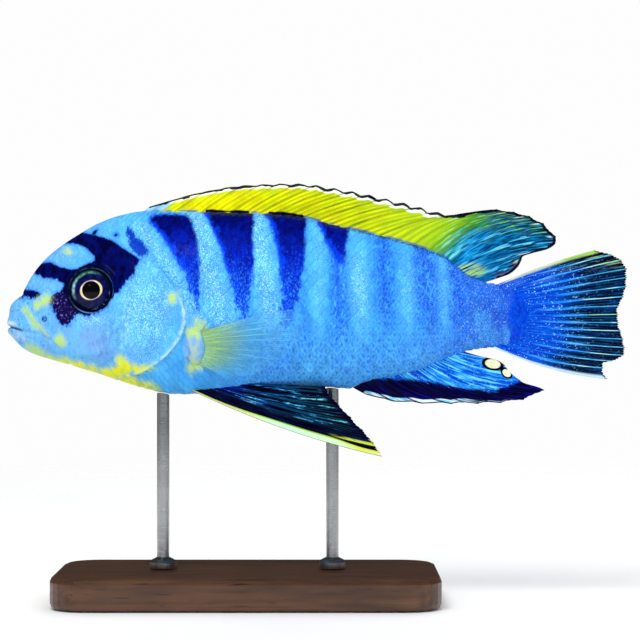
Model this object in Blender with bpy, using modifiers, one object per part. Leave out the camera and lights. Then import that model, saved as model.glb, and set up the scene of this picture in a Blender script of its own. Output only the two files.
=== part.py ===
"""A life-size display model of a hongi cichlid, held over a wooden base by two rods.

Metres, +Z up. The snout points to -X and the left side to -Y. The origin is on the floor,
midway along the fish. The lengths below are millimetres: a station is a distance behind the
snout, a height is measured from the body's axis, and a side distance from the middle plane.
"""

import math

import bmesh
import bpy
import numpy as np
from mathutils import Matrix

MM = 0.001

# Driving sizes
FISH_LENGTH = 120.0
STALK_END = 100.5
AXIS_HEIGHT = 55.0
GAP = 0.3

# The body's outline from the side, as (station, height), and its half width
BACK_LINE = (
    (0.0, -2.0), (0.2, 2.3), (1.0, 3.0), (2.1, 3.9), (2.9, 5.1), (4.1, 7.3), (5.6, 9.5), (8.0, 12.0),
    (13.8, 16.1), (17.6, 18.2), (21.5, 19.6), (26.0, 20.4), (39.0, 20.3), (53.5, 19.8), (64.2, 17.5),
    (75.8, 14.7), (84.0, 11.8), (89.5, 7.6), (94.5, 6.3), (98.0, 5.9), (100.5, 3.4),
)
BELLY_LINE = (
    (0.0, -2.0), (0.2, -3.1), (0.6, -4.0), (1.4, -5.0), (3.7, -6.8), (9.9, -8.9), (17.6, -11.2),
    (25.4, -13.8), (33.0, -15.1), (48.7, -14.3), (60.3, -13.6), (65.8, -14.0), (69.0, -12.7), (75.8, -11.3),
    (79.7, -10.3), (83.6, -8.5), (89.4, -6.6), (94.0, -6.0), (98.0, -5.8), (100.5, -3.4),
)
HALF_WIDTH = (
    (0.0, 0.0), (0.2, 1.5), (1.0, 2.6), (2.1, 3.2), (4.1, 4.2), (8.0, 5.4), (14.0, 6.7), (20.0, 7.6),
    (28.0, 8.4), (38.0, 8.7), (52.0, 8.0), (60.0, 7.1), (68.0, 5.9), (76.0, 4.5), (84.0, 3.2),
    (90.0, 2.3), (95.0, 1.5), (98.0, 0.95), (100.5, 0.55),
)
WIDEST_LEVEL = (
    (0.0, -2.0), (3.6, -2.4), (8.0, -1.4), (15.0, -0.5), (30.0, 1.5), (45.0, 2.5), (70.0, 1.2), (100.5, 0.0),
)
UPPER_SQUARENESS = 1.9
LOWER_SQUARENESS = 2.2
BODY_STATIONS = 50
BODY_SEGMENTS = 34

# The lines that part the body, as (station, height)
MOUTH_LINE = ((-2.0, -1.9), (0.5, -2.1), (3.6, -2.9))
CHEEK_FOLD = ((2.2, 7.0), (2.5, 3.8), (3.7, 0.6), (5.5, -1.8), (7.6, -4.1))
JAW_LINE = ((3.6, -2.9), (7.6, -4.1), (10.5, -7.0), (13.5, -12.5))
GILL_SLIT = (
    (25.6, 24.0), (27.5, 14.0), (29.6, 9.6), (32.4, 5.6), (34.2, 2.6), (34.8, -0.5), (34.0, -3.4), (32.2, -6.2),
    (29.4, -8.8), (25.8, -10.9), (21.4, -12.3), (17.0, -15.0),
)
STALK_CUT = ((91.0, 12.0), (89.8, 4.0), (89.6, -2.0), (90.2, -12.0))
COVER_FRONT = (
    (34.0, 10.6), (28.5, 10.2), (25.6, 8.4), (24.1, 4.8), (23.7, 0.5), (23.2, -3.6), (21.7, -7.2), (19.2, -9.8),
    (18.6, -12.6),
)
COVER_BACK = ((24.0, -16.0), (42.0, -16.0), (42.0, 10.6))
COVER_DEPTH = 3.6

# Eyes, nostrils, lips and the raised rims
EYE_CENTRE = (16.1, 4.9)
EYE_RADIUS = 3.95
EYE_HALF_DEPTH = 2.5
EYE_STANDS_OUT = 1.15
EYE_TURN_FORWARD = math.radians(8.0)
EYE_TURN_UP = math.radians(7.0)
NOSTRIL = (7.0, -0.5)
NOSTRIL_RADIUS = 0.5
LIP_HEIGHT = 0.4
LIP_OFFSET = 0.95
LIP_WIDTH = 0.75
LIP_END = 4.4
RIM_RADIUS = 4.5
RIM_THICKNESS = 0.5
RIM_SUNK = 0.15
COVER_HEIGHT = 0.45
LOBE_CENTRE = (36.6, -6.0)
LOBE_SIZE = (1.9, 0.9, 3.5)

# Fins
MEMBRANE_HALF = 0.26
MARGIN_HALF = 0.17

# Stand
ROD_RADIUS = 1.2
ROD_STATIONS = {"front": 29.9, "rear": 62.7}
COLLAR_RADIUS = 2.6
COLLAR_HEIGHT = 1.6
BASE_LENGTH = 74.0
BASE_WIDTH = 38.0
BASE_HEIGHT = 6.0
BASE_CORNER = 7.0
BASE_CHAMFER = 1.0


def clear_scene():
    for item in list(bpy.data.objects):
        bpy.data.objects.remove(item, do_unlink=True)


def new_collection(name):
    made = bpy.data.collections.new(name)
    bpy.context.scene.collection.children.link(made)
    return made


def finish_material(name, colour, roughness, metallic=0.0):
    made = bpy.data.materials.new(name)
    made.use_nodes = True
    shader = made.node_tree.nodes["Principled BSDF"]
    shader.inputs["Base Color"].default_value = (*colour, 1.0)
    shader.inputs["Roughness"].default_value = roughness
    shader.inputs["Metallic"].default_value = metallic
    made.diffuse_color = (*colour, 1.0)
    return made


def curve_through(knots):
    """A smooth curve through the (position, value) knots that never overshoots them."""
    places, values = np.array(knots, float).T
    steps = np.diff(places)
    slopes = np.diff(values) / steps
    tangents = np.concatenate([slopes[:1], np.zeros(len(places) - 2), slopes[-1:]])
    rising = slopes[:-1] * slopes[1:] > 0
    first, second = 2 * steps[1:] + steps[:-1], steps[1:] + 2 * steps[:-1]
    with np.errstate(divide="ignore", invalid="ignore"):
        blended = (first + second) / (first / slopes[:-1] + second / slopes[1:])
    tangents[1:-1] = np.where(rising, blended, 0.0)

    def value_at(place):
        place = np.clip(np.asarray(place, float), places[0], places[-1])
        index = np.clip(np.searchsorted(places, place) - 1, 0, len(steps) - 1)
        step = steps[index]
        share = (place - places[index]) / step
        rest = 1 - share
        return (
            values[index] * (1 + 2 * share) * rest**2
            + values[index + 1] * share**2 * (3 - 2 * share)
            + step * share * rest * (tangents[index] * rest - tangents[index + 1] * share)
        )

    return value_at


def curve_by_root(knots):
    """A curve whose knots are spread by the square root of the station, so that it starts round."""
    rooted = curve_through([(math.sqrt(place), value) for place, value in knots])
    return lambda station: rooted(np.sqrt(np.maximum(station, 0.0)))


back_at = curve_by_root(BACK_LINE)
belly_at = curve_by_root(BELLY_LINE)
half_width_at = curve_by_root(HALF_WIDTH)
level_at = curve_by_root(WIDEST_LEVEL)
gill_station_at = curve_through([(height, station) for station, height in reversed(GILL_SLIT)])
mouth_height_at = curve_through(MOUTH_LINE)


def flank_at(station, height):
    """Half width of the body at this station and height, without its relief."""
    level = level_at(station)
    upper = height > level
    reach = np.where(upper, back_at(station) - level, level - belly_at(station))
    squareness = np.where(upper, UPPER_SQUARENESS, LOWER_SQUARENESS)
    share = np.clip(np.abs(height - level) / np.maximum(reach, 1e-6), 0.0, 1.0)
    return half_width_at(station) * (1 - share**squareness) ** (1 / squareness)


def bump(distance, width):
    return np.exp(-((distance / width) ** 2))


def relief_at(station, height):
    """How far the lips and the gill covers stand out of the plain body."""
    from_mouth = height - mouth_height_at(station)
    lip_fade = np.clip((LIP_END - station) / 1.5, 0.0, 1.0)
    lips = LIP_HEIGHT * lip_fade * (
        bump(from_mouth - LIP_OFFSET, LIP_WIDTH) + bump(from_mouth + LIP_OFFSET, LIP_WIDTH)
    )
    cover_fade = np.clip((station - 18.0) / 10.0, 0.0, 1.0) * np.clip((12.0 - height) / 4.0, 0.0, 1.0)
    return lips + COVER_HEIGHT * cover_fade


def place(station, side, height):
    """Part coordinates, in metres, of a point given in the fish's own millimetres."""
    return np.stack([station - FISH_LENGTH / 2, side, height + AXIS_HEIGHT], axis=-1) * MM


def mesh_object(name, points, faces, collection):
    mesh = bpy.data.meshes.new(name)
    mesh.from_pydata([tuple(point) for point in points], [], faces)
    made = bpy.data.objects.new(name, mesh)
    collection.objects.link(made)
    edit = bmesh.new()
    edit.from_mesh(mesh)
    if edit.calc_volume(signed=True) < 0:
        bmesh.ops.reverse_faces(edit, faces=edit.faces)
    edit.to_mesh(mesh)
    edit.free()
    return made


def body_object(name, grow, collection, has_relief=False):
    """The whole body from snout to tail stalk, as a loft of squarish ovals, grown outwards.

    With relief it is the head's own surface, which stands out over the trunk at the gill slit.
    """
    last = math.sqrt(STALK_END)
    roots = np.linspace(0.0, last, BODY_STATIONS + 1)[1:]
    stations = (roots**2)[:, None]
    angles = np.linspace(0.0, 2 * math.pi, BODY_SEGMENTS, endpoint=False)[None, :]
    up = np.cos(angles)
    power = 2 / np.where(up > 0, UPPER_SQUARENESS, LOWER_SQUARENESS)
    level = level_at(stations)
    reach = np.where(up > 0, back_at(stations) - level, level - belly_at(stations))
    heights = level + reach * np.sign(up) * np.abs(up) ** power
    sides = half_width_at(stations) * np.sign(np.sin(angles)) * np.abs(np.sin(angles)) ** power
    stations = np.broadcast_to(stations, heights.shape)
    points = [place(np.array(0.0), np.array(0.0), belly_at(0.0))]
    points += list(place(stations, sides, heights).reshape(-1, 3))
    relief = np.zeros(len(points))
    if has_relief:
        relief[1:] = relief_at(stations, heights).reshape(-1)
    count, rows = BODY_SEGMENTS, BODY_STATIONS
    faces = [(0, 1 + (k + 1) % count, 1 + k) for k in range(count)]
    for row in range(rows - 1):
        start = 1 + row * count
        for k in range(count):
            after = (k + 1) % count
            faces.append((start + k, start + after, start + count + after, start + count + k))
    faces.append(tuple(1 + (rows - 1) * count + k for k in range(count)))
    made = mesh_object(name, points, faces, collection)
    for amount in (relief, np.full(len(points), grow)):
        edit = bmesh.new()
        edit.from_mesh(made.data)
        edit.normal_update()
        for vertex, out in zip(edit.verts, amount):
            vertex.co += vertex.normal * float(out) * MM
        edit.to_mesh(made.data)
        edit.free()
    return made


def prism(name, outline, near, far, collection):
    """A cutter: the (station, height) outline, run along Y from near to far."""
    points = [place(station, near, height) for station, height in outline]
    edit = bmesh.new()
    face = edit.faces.new([edit.verts.new(point) for point in points])
    swept = bmesh.ops.extrude_face_region(edit, geom=[face])["geom"]
    moved = [item for item in swept if isinstance(item, bmesh.types.BMVert)]
    bmesh.ops.translate(edit, verts=moved, vec=(0.0, (far - near) * MM, 0.0))
    bmesh.ops.recalc_face_normals(edit, faces=edit.faces)
    mesh = bpy.data.meshes.new(name)
    edit.to_mesh(mesh)
    edit.free()
    return link_cutter(bpy.data.objects.new(name, mesh), collection)


def link_cutter(made, collection):
    collection.objects.link(made)
    made.hide_render = True
    made.display_type = "WIRE"
    return made


def smooth_line(knots, pieces):
    """Points along a smooth line through the knots, with so many pieces between each two."""
    order = range(len(knots))
    along = np.linspace(0, len(knots) - 1, pieces * (len(knots) - 1) + 1)
    columns = [curve_through(list(zip(order, column)))(along) for column in zip(*knots)]
    return np.stack(columns, axis=1)


def band(line, width):
    """The outline of a strip of this width that follows a line."""
    steps = np.gradient(line, axis=0)
    across = np.stack([-steps[:, 1], steps[:, 0]], axis=1)
    across *= width / 2 / np.linalg.norm(across, axis=1)[:, None]
    return np.concatenate([line + across, (line - across)[::-1]])


def grown(outline, amount):
    """A closed outline moved outwards by this amount."""
    outline = np.asarray(outline, float)
    before, after = np.roll(outline, 1, axis=0), np.roll(outline, -1, axis=0)
    first, second = outline - before, after - outline
    normals = [np.stack([edge[:, 1], -edge[:, 0]], 1) / np.linalg.norm(edge, axis=1)[:, None] for edge in (first, second)]
    area = np.sum(outline[:, 0] * after[:, 1] - after[:, 0] * outline[:, 1])
    mean = normals[0] + normals[1]
    mean *= (2 / np.sum(mean * mean, axis=1))[:, None]
    return outline + mean * amount * (1 if area > 0 else -1)


def combine(target, operation, others):
    """Applies one Boolean of the target with all the others, and removes the others."""
    scratch = new_collection("joined")
    for other in others:
        scratch.objects.link(other)
    modifier = target.modifiers.new(operation.lower(), "BOOLEAN")
    modifier.operation = operation
    modifier.operand_type = "COLLECTION"
    modifier.collection = scratch
    apply_modifiers(target)
    for other in others:
        bpy.data.objects.remove(other, do_unlink=True)
    bpy.data.collections.remove(scratch)


def cut_once(target, operation, cutter):
    """Applies one Boolean of the target with one cutter, which stays."""
    modifier = target.modifiers.new(operation.lower(), "BOOLEAN")
    modifier.operation = operation
    modifier.object = cutter
    apply_modifiers(target)


def apply_modifiers(target):
    bpy.context.view_layer.update()
    graph = bpy.context.evaluated_depsgraph_get()
    mesh = bpy.data.meshes.new_from_object(target.evaluated_get(graph))
    target.modifiers.clear()
    target.data = mesh


def closed_surfaces(target):
    """The faces of each separate surface of the mesh, largest first."""
    edit = bmesh.new()
    edit.from_mesh(target.data)
    bmesh.ops.remove_doubles(edit, verts=edit.verts, dist=1e-7)
    left, found = set(edit.faces), []
    while left:
        reached = [left.pop()]
        surface = list(reached)
        while reached:
            face = reached.pop()
            for edge in face.edges:
                fresh = [other for other in edge.link_faces if other in left]
                left.difference_update(fresh)
                reached += fresh
                surface += fresh
        found.append(surface)
    found.sort(key=len, reverse=True)
    meshes = []
    for surface in found:
        corners = sorted({vertex.index for face in surface for vertex in face.verts})
        order = {corner: index for index, corner in enumerate(corners)}
        edit.verts.ensure_lookup_table()
        points = [tuple(edit.verts[corner].co) for corner in corners]
        faces = [[order[vertex.index] for vertex in face.verts] for face in surface]
        meshes.append((points, faces))
    edit.free()
    return meshes


def keep_largest(target):
    points, faces = closed_surfaces(target)[0]
    mesh = bpy.data.meshes.new(target.name)
    mesh.from_pydata(points, [], faces)
    target.data = mesh


def shade(target, material, angle=math.radians(40)):
    target.data.materials.clear()
    target.data.materials.append(material)
    target.data.shade_smooth()
    target.data.set_sharp_from_angle(angle=angle)


def set_in_eye(made, side):
    """Places an object that is modelled round the eye's centre, looking along Y."""
    station, height = EYE_CENTRE
    out = flank_at(np.array(station), np.array(height)) + EYE_STANDS_OUT - EYE_HALF_DEPTH
    made.location = place(np.array(station), side * out, np.array(height))
    made.rotation_euler = (side * EYE_TURN_UP, 0.0, side * EYE_TURN_FORWARD)


def eyeball(name, side, grow, collection):
    made = oval_object(name, (EYE_RADIUS + grow, EYE_HALF_DEPTH + grow, EYE_RADIUS + grow), 20, 10)
    set_in_eye(made, side)
    collection.objects.link(made)
    made.hide_render = grow > 0
    made.display_type = "WIRE" if grow > 0 else "TEXTURED"
    return made


def oval_object(name, radii, segments, rings):
    """A closed oval, with its poles on the Y axis, in no collection yet."""
    edit = bmesh.new()
    bmesh.ops.create_uvsphere(edit, u_segments=segments, v_segments=rings, radius=MM)
    bmesh.ops.rotate(edit, verts=edit.verts, matrix=Matrix.Rotation(math.pi / 2, 3, "X"))
    bmesh.ops.scale(edit, verts=edit.verts, vec=radii)
    mesh = bpy.data.meshes.new(name)
    edit.to_mesh(mesh)
    edit.free()
    return bpy.data.objects.new(name, mesh)


def eye_rim(side):
    """The raised ring of skin round an eye."""
    bpy.ops.mesh.primitive_torus_add(
        major_segments=22, minor_segments=6, major_radius=RIM_RADIUS * MM, minor_radius=RIM_THICKNESS * MM
    )
    made = bpy.context.object
    for owner in list(made.users_collection):
        owner.objects.unlink(made)
    made.data.transform(Matrix.Rotation(math.pi / 2, 4, "X"))
    made.data.transform(Matrix.Translation((0.0, side * (EYE_HALF_DEPTH - EYE_STANDS_OUT - RIM_SUNK) * MM, 0.0)))
    set_in_eye(made, side)
    return made


def nostril_cutter(side, collection):
    station, height = NOSTRIL
    out = flank_at(np.array(station), np.array(height)) + 0.1
    made = oval_object("nostril_cutter", (NOSTRIL_RADIUS,) * 3, 10, 6)
    made.location = place(np.array(station), side * out, np.array(height))
    return link_cutter(made, collection)


def fin_lobe(side, grow):
    """The fleshy lobe that a pectoral fin grows from."""
    station, height = LOBE_CENTRE
    out = flank_at(np.array(station), np.array(height)) - 0.1
    made = oval_object("fin_lobe", [size + grow for size in LOBE_SIZE], 16, 8)
    made.location = place(np.array(station), side * out, np.array(height))
    return made


def parted(body, lines, middles, fish, cutters):
    """Parts a body along the named lines and gives each piece the name of the nearest middle."""
    for name, (knots, pieces) in lines.items():
        cutter = prism(name, band(smooth_line(knots, pieces), GAP), -12.0, 12.0, cutters)
        cut_once(body, "DIFFERENCE", cutter)
    named = {}
    for points, faces in closed_surfaces(body):
        box = np.array(points)
        middle = (box.min(axis=0) + box.max(axis=0)) / 2 / MM
        spot = (middle[0] + FISH_LENGTH / 2, middle[2] - AXIS_HEIGHT)
        name = min(middles, key=lambda key: math.dist(middles[key], spot))
        if name not in named and name != "left_out":
            named[name] = mesh_object(name, points, faces, fish)
    bpy.data.objects.remove(body, do_unlink=True)
    return named


def make_body(fish, cutters, skin):
    """The body's named pieces: the head's surface stands out over the trunk along the gill slit."""
    front = body_object("front", 0.0, fish, has_relief=True)
    front_lines = {
        "mouth_cut": (MOUTH_LINE, 2), "fold_cut": (CHEEK_FOLD, 3), "jaw_cut": (JAW_LINE, 3),
        "gill_cut": (GILL_SLIT, 2),
    }
    front_middles = {
        "left_out": (65.0, 2.0), "head": (17.0, 3.0), "upper_jaw": (3.5, 0.0), "lower_jaw": (6.0, -6.5),
    }
    pieces = parted(front, front_lines, front_middles, fish, cutters)
    rear = body_object("rear", 0.0, fish)
    rear_lines = {"trunk_cut": (GILL_SLIT, 2), "stalk_cut": (STALK_CUT, 2)}
    rear_middles = {"left_out": (13.0, 2.0), "trunk": (56.0, 2.0), "tail_stalk": (95.0, 0.0)}
    pieces |= parted(rear, rear_lines, rear_middles, fish, cutters)
    for side in (-1, 1):
        combine(pieces["trunk"], "UNION", [fin_lobe(side, 0.0)])
    cut_head(pieces, fish, cutters)
    for piece in pieces.values():
        keep_largest(piece)
        shade(piece, skin)


def cut_head(pieces, fish, cutters):
    """Takes the gill covers, eye sockets and nostrils out of the head, and adds the eyes' rims."""
    head = pieces["head"]
    far = 12.0
    outline = np.concatenate([smooth_line(COVER_FRONT, 2), np.array(COVER_BACK)])
    for label, side in (("left", -1), ("right", 1)):
        cover = head.copy()
        cover.data = head.data.copy()
        cover.name = f"gill_cover_{label}"
        fish.objects.link(cover)
        inside = prism(f"{label}_cover_inside", outline, side * (COVER_DEPTH + GAP), side * far, cutters)
        cut_once(cover, "INTERSECT", inside)
        pieces[cover.name] = cover
        room = prism(f"{label}_cover_room", grown(outline, GAP), side * COVER_DEPTH, side * far, cutters)
        cut_once(head, "DIFFERENCE", room)
        combine(head, "UNION", [eye_rim(side)])
        cut_once(head, "DIFFERENCE", eyeball(f"{label}_socket", side, GAP, cutters))
        cut_once(head, "DIFFERENCE", nostril_cutter(side, cutters))


def ray_columns(rays, scalloped):
    """(position across the fin, ridge share, notch share) of each column of points, ray by ray."""
    spacing = 1 / (rays - 1)
    ridge = 0.2 * spacing
    columns = []
    for ray in range(rays):
        middle = ray * spacing
        if ray > 0:
            columns.append((middle - ridge, 0.0, 0.3))
        columns.append((middle, 1.0, 0.0))
        if ray < rays - 1:
            columns.append((middle + ridge, 0.0, 0.5))
            if scalloped:
                columns.append((middle + spacing / 2, 0.0, 1.0))
    return np.array(columns)


def fin_object(name, roots, tips, rays, rows, collection, *, side_at, bow=0.0, notch=0.0,
               ray_half=(0.6, 0.3), root_half=MEMBRANE_HALF, scalloped=False):
    """A thin fin: rays run from the root line to the tip line, as ridges on one closed membrane.

    roots and tips are (share across the fin, station, height). A ray is a parabola whose middle
    stands off its chord by bow times its length. side_at gives the side distance of each point.
    """
    columns = ray_columns(rays, scalloped)
    across, ridge, dip = columns.T
    along = np.linspace(0.0, 1.0, rows)
    root = [curve_through([(row[0], row[axis]) for row in roots])(across) for axis in (1, 2)]
    tip = [curve_through([(row[0], row[axis]) for row in tips])(across) for axis in (1, 2)]
    bow_at = curve_through(bow)(across) if isinstance(bow, tuple) else np.full(len(across), bow)
    notch_at = curve_through(notch)(across) if isinstance(notch, tuple) else np.full(len(across), notch)
    reach = 1 - dip * notch_at
    tip = [start + (end - start) * reach for start, end in zip(root, tip)]
    chord = [end - start for start, end in zip(root, tip)]
    lift = 2 * np.outer(along * (1 - along), bow_at) * 2
    station = root[0] + np.outer(along, chord[0]) - lift * chord[1]
    height = root[1] + np.outer(along, chord[1]) + lift * chord[0]
    side = side_at(np.broadcast_to(across, station.shape), along[:, None] + 0 * station, station, height)
    fade = np.clip(1 - along / 0.3, 0, 1)[:, None]
    membrane = MEMBRANE_HALF + (root_half - MEMBRANE_HALF) * fade
    ridge_half = (ray_half[0] + (ray_half[1] - ray_half[0]) * along)[:, None]
    half = np.where(ridge > 0, np.maximum(ridge_half, membrane), membrane)
    half = half + 0 * station
    half[-1] = np.where(ridge > 0, MARGIN_HALF + 0.05, MARGIN_HALF)
    half[:, 0] = half[:, -1] = MARGIN_HALF + 0.08
    left = place(station, side - half, height).reshape(-1, 3)
    right = place(station, side + half, height).reshape(-1, 3)
    faces = sheet_faces(rows, len(across))
    return mesh_object(name, np.concatenate([left, right]), faces, collection)


def sheet_faces(rows, count):
    """Triangles of a closed sheet, split alike on both faces, and the rim that joins them."""
    faces = []
    offset = rows * count
    for row in range(rows - 1):
        for k in range(count - 1):
            a, b = row * count + k, row * count + k + 1
            c, d = b + count, a + count
            faces += [(a, b, c), (a, c, d)]
            faces += [(offset + a, offset + c, offset + b), (offset + a, offset + d, offset + c)]
    rim = [k for k in range(count)]
    rim += [row * count + count - 1 for row in range(1, rows)]
    rim += [(rows - 1) * count + k for k in range(count - 2, -1, -1)]
    rim += [row * count for row in range(rows - 2, 0, -1)]
    for a, b in zip(rim, rim[1:] + rim[:1]):
        faces += [(a, offset + b, b), (a, offset + a, offset + b)]
    return faces


def median_side(sway, phase):
    """Side distance of a fin in the middle plane, with a slight wave that grows to its margin."""
    def side_at(across, along, station, height):
        return sway * along**2 * np.sin(2 * math.pi * across + phase)
    return side_at


def make_dorsal_fin(fish, cutter, material):
    roots = tuple(
        (share, station, float(back_at(station)) - 1.3)
        for share, station in ((0.0, 25.0), (0.2, 41.5), (0.42, 59.5), (0.66, 77.6), (0.84, 84.6), (1.0, 90.0))
    )
    tips = (
        (0.0, 27.6, 21.7), (0.05, 32.4, 22.9), (0.1, 37.0, 24.1), (0.2, 46.2, 25.5), (0.3, 55.3, 25.8),
        (0.42, 66.2, 24.3), (0.54, 76.6, 22.0), (0.66, 87.2, 19.7), (0.72, 93.6, 20.8), (0.78, 98.8, 20.1),
        (0.85, 103.9, 17.9), (0.905, 106.3, 14.6), (0.94, 101.9, 12.6), (0.965, 99.2, 10.8), (1.0, 96.4, 8.0),
    )
    fin = fin_object(
        "dorsal_fin", roots, tips, 27, 5, fish, side_at=median_side(0.5, 0.6), scalloped=True,
        bow=((0.0, 0.03), (0.6, 0.04), (0.8, 0.1), (1.0, -0.02)),
        notch=((0.0, 0.07), (0.3, 0.1), (0.62, 0.1), (0.72, 0.02), (1.0, 0.02)), ray_half=(0.6, 0.42),
    )
    return trim_fin(fin, cutter, material)


def make_anal_fin(fish, cutter, material):
    roots = tuple(
        (share, station, float(belly_at(station)) + 1.3)
        for share, station in ((0.0, 65.2), (0.3, 72.6), (0.65, 80.5), (1.0, 86.5))
    )
    tips = (
        (0.0, 69.3, -15.2), (0.1, 74.4, -16.5), (0.2, 80.0, -16.9), (0.35, 88.5, -17.0), (0.5, 95.4, -16.8),
        (0.62, 100.6, -16.0), (0.7, 103.8, -14.3), (0.78, 99.8, -12.8), (0.86, 97.2, -10.6), (0.93, 95.2, -8.7),
        (1.0, 91.4, -7.7),
    )
    fin = fin_object(
        "anal_fin", roots, tips, 11, 6, fish, side_at=median_side(0.4, 2.0), scalloped=True,
        bow=((0.0, -0.03), (0.5, -0.08), (1.0, -0.02)), notch=((0.0, 0.1), (0.3, 0.05), (1.0, 0.02)),
        ray_half=(0.55, 0.32),
    )
    return trim_fin(fin, cutter, material)


def make_tail_fin(fish, cutter, material):
    roots = ((0.0, 94.0, 5.9), (0.5, 96.0, 0.0), (1.0, 94.0, -5.9))
    tips = (
        (0.0, 113.6, 12.9), (0.06, 116.8, 12.1), (0.13, 119.0, 10.9), (0.2, 120.0, 8.9), (0.3, 119.9, 6.2),
        (0.38, 119.2, 3.7), (0.47, 118.1, 1.2), (0.57, 118.2, -1.4), (0.68, 119.0, -4.2), (0.79, 119.4, -7.0),
        (0.85, 118.1, -8.3), (0.91, 115.3, -9.2), (0.95, 115.1, -10.4), (1.0, 115.8, -12.0),
    )
    fin = fin_object(
        "tail_fin", roots, tips, 17, 6, fish, side_at=median_side(0.9, 0.3), root_half=0.85,
        bow=((0.0, 0.03), (0.5, 0.0), (1.0, -0.04)), ray_half=(0.95, 0.3),
    )
    return trim_fin(fin, cutter, material)


def make_pelvic_fin(label, side, fish, cutter, material):
    roots = ((0.0, 33.5, -13.6), (0.5, 37.8, -13.0), (1.0, 41.6, -12.9))
    tips = (
        (0.0, 72.1, -26.9), (0.1, 71.7, -25.9), (0.3, 70.0, -23.4), (0.5, 68.0, -21.4), (0.75, 64.4, -17.5),
        (1.0, 61.2, -13.9),
    )

    def side_at(across, along, station, height):
        return side * (2.7 + 3.6 * along * (1 - 0.45 * across) + 0.5 * np.sin(math.pi * along))

    fin = fin_object(
        f"pelvic_fin_{label}", roots, tips, 6, 8, fish, side_at=side_at, ray_half=(0.6, 0.3), root_half=0.45,
        bow=((0.0, -0.045), (1.0, -0.02)), notch=0.02, scalloped=True,
    )
    return trim_fin(fin, cutter, material)


def make_pectoral_fin(label, side, fish, cutter, material):
    roots = ((0.0, 37.0, -3.4), (0.5, 37.7, -6.0), (1.0, 36.9, -8.7))
    tips = (
        (0.0, 56.9, 1.3), (0.1, 57.8, -0.4), (0.25, 57.5, -2.9), (0.45, 55.4, -5.9), (0.65, 51.8, -8.7),
        (0.85, 46.6, -11.0), (1.0, 42.4, -11.6),
    )
    rise = curve_through(((0.0, 0.1), (0.12, 0.8), (0.3, 1.25), (1.0, 2.6)))

    def side_at(across, along, station, height):
        return side * (flank_at(station, height) + rise(along))

    fin = fin_object(
        f"pectoral_fin_{label}", roots, tips, 13, 6, fish, side_at=side_at, ray_half=(0.5, 0.3), root_half=0.4,
        bow=((0.0, 0.02), (1.0, -0.03)),
    )
    combine(fin, "DIFFERENCE", [fin_lobe(side, GAP)])
    return trim_fin(fin, cutter, material)


def trim_fin(fin, cutter, material):
    """Cuts a fin's root to the body's surface."""
    cut_once(fin, "DIFFERENCE", cutter)
    keep_largest(fin)
    shade(fin, material)
    return fin


def make_eyes(fish, material):
    for label, side in (("left", -1), ("right", 1)):
        shade(eyeball(f"eye_{label}", side, 0.0, fish), material)


def rod_object(name, station, cutter, stand, material):
    """A turned rod with a collar at its foot, cut off at the belly."""
    bottom = BASE_HEIGHT + GAP
    top = AXIS_HEIGHT + float(belly_at(station)) + 3.0
    profile = [
        (0.0, top), (ROD_RADIUS, top), (ROD_RADIUS, bottom + COLLAR_HEIGHT + 0.5),
        (COLLAR_RADIUS - 0.4, bottom + COLLAR_HEIGHT), (COLLAR_RADIUS, bottom + COLLAR_HEIGHT - 0.5),
        (COLLAR_RADIUS, bottom), (0.0, bottom),
    ]
    mesh = bpy.data.meshes.new(name)
    points = [(radius * MM, 0.0, height * MM) for radius, height in profile]
    mesh.from_pydata(points, [(k, k + 1) for k in range(len(points) - 1)], [])
    rod = bpy.data.objects.new(name, mesh)
    rod.location = ((station - FISH_LENGTH / 2) * MM, 0.0, 0.0)
    stand.objects.link(rod)
    screw = rod.modifiers.new("turn", "SCREW")
    screw.steps = screw.render_steps = 20
    screw.use_merge_vertices = True
    screw.merge_threshold = 0.00001
    apply_modifiers(rod)
    cut_once(rod, "DIFFERENCE", cutter)
    keep_largest(rod)
    shade(rod, material)


def base_object(stand, material):
    """A plain board with rounded corners and a small chamfer along its edges."""
    middle = sum(ROD_STATIONS.values()) / 2 - FISH_LENGTH / 2
    bpy.ops.mesh.primitive_cube_add(size=1.0, location=(middle * MM, 0.0, BASE_HEIGHT / 2 * MM))
    base = bpy.context.object
    base.name = base.data.name = "stand_base"
    for owner in list(base.users_collection):
        owner.objects.unlink(base)
    stand.objects.link(base)
    base.data.transform(Matrix.Diagonal((BASE_LENGTH * MM, BASE_WIDTH * MM, BASE_HEIGHT * MM, 1.0)))
    edit = bmesh.new()
    edit.from_mesh(base.data)
    upright = [edge for edge in edit.edges if abs(edge.verts[0].co.z - edge.verts[1].co.z) > MM]
    bmesh.ops.bevel(edit, geom=upright, offset=BASE_CORNER * MM, segments=6, profile=0.5, affect="EDGES")
    edit.to_mesh(base.data)
    edit.free()
    chamfer = base.modifiers.new("chamfer", "BEVEL")
    chamfer.width = BASE_CHAMFER * MM
    chamfer.segments = 2
    chamfer.limit_method = "ANGLE"
    chamfer.angle_limit = math.radians(50)
    apply_modifiers(base)
    shade(base, material)


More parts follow.
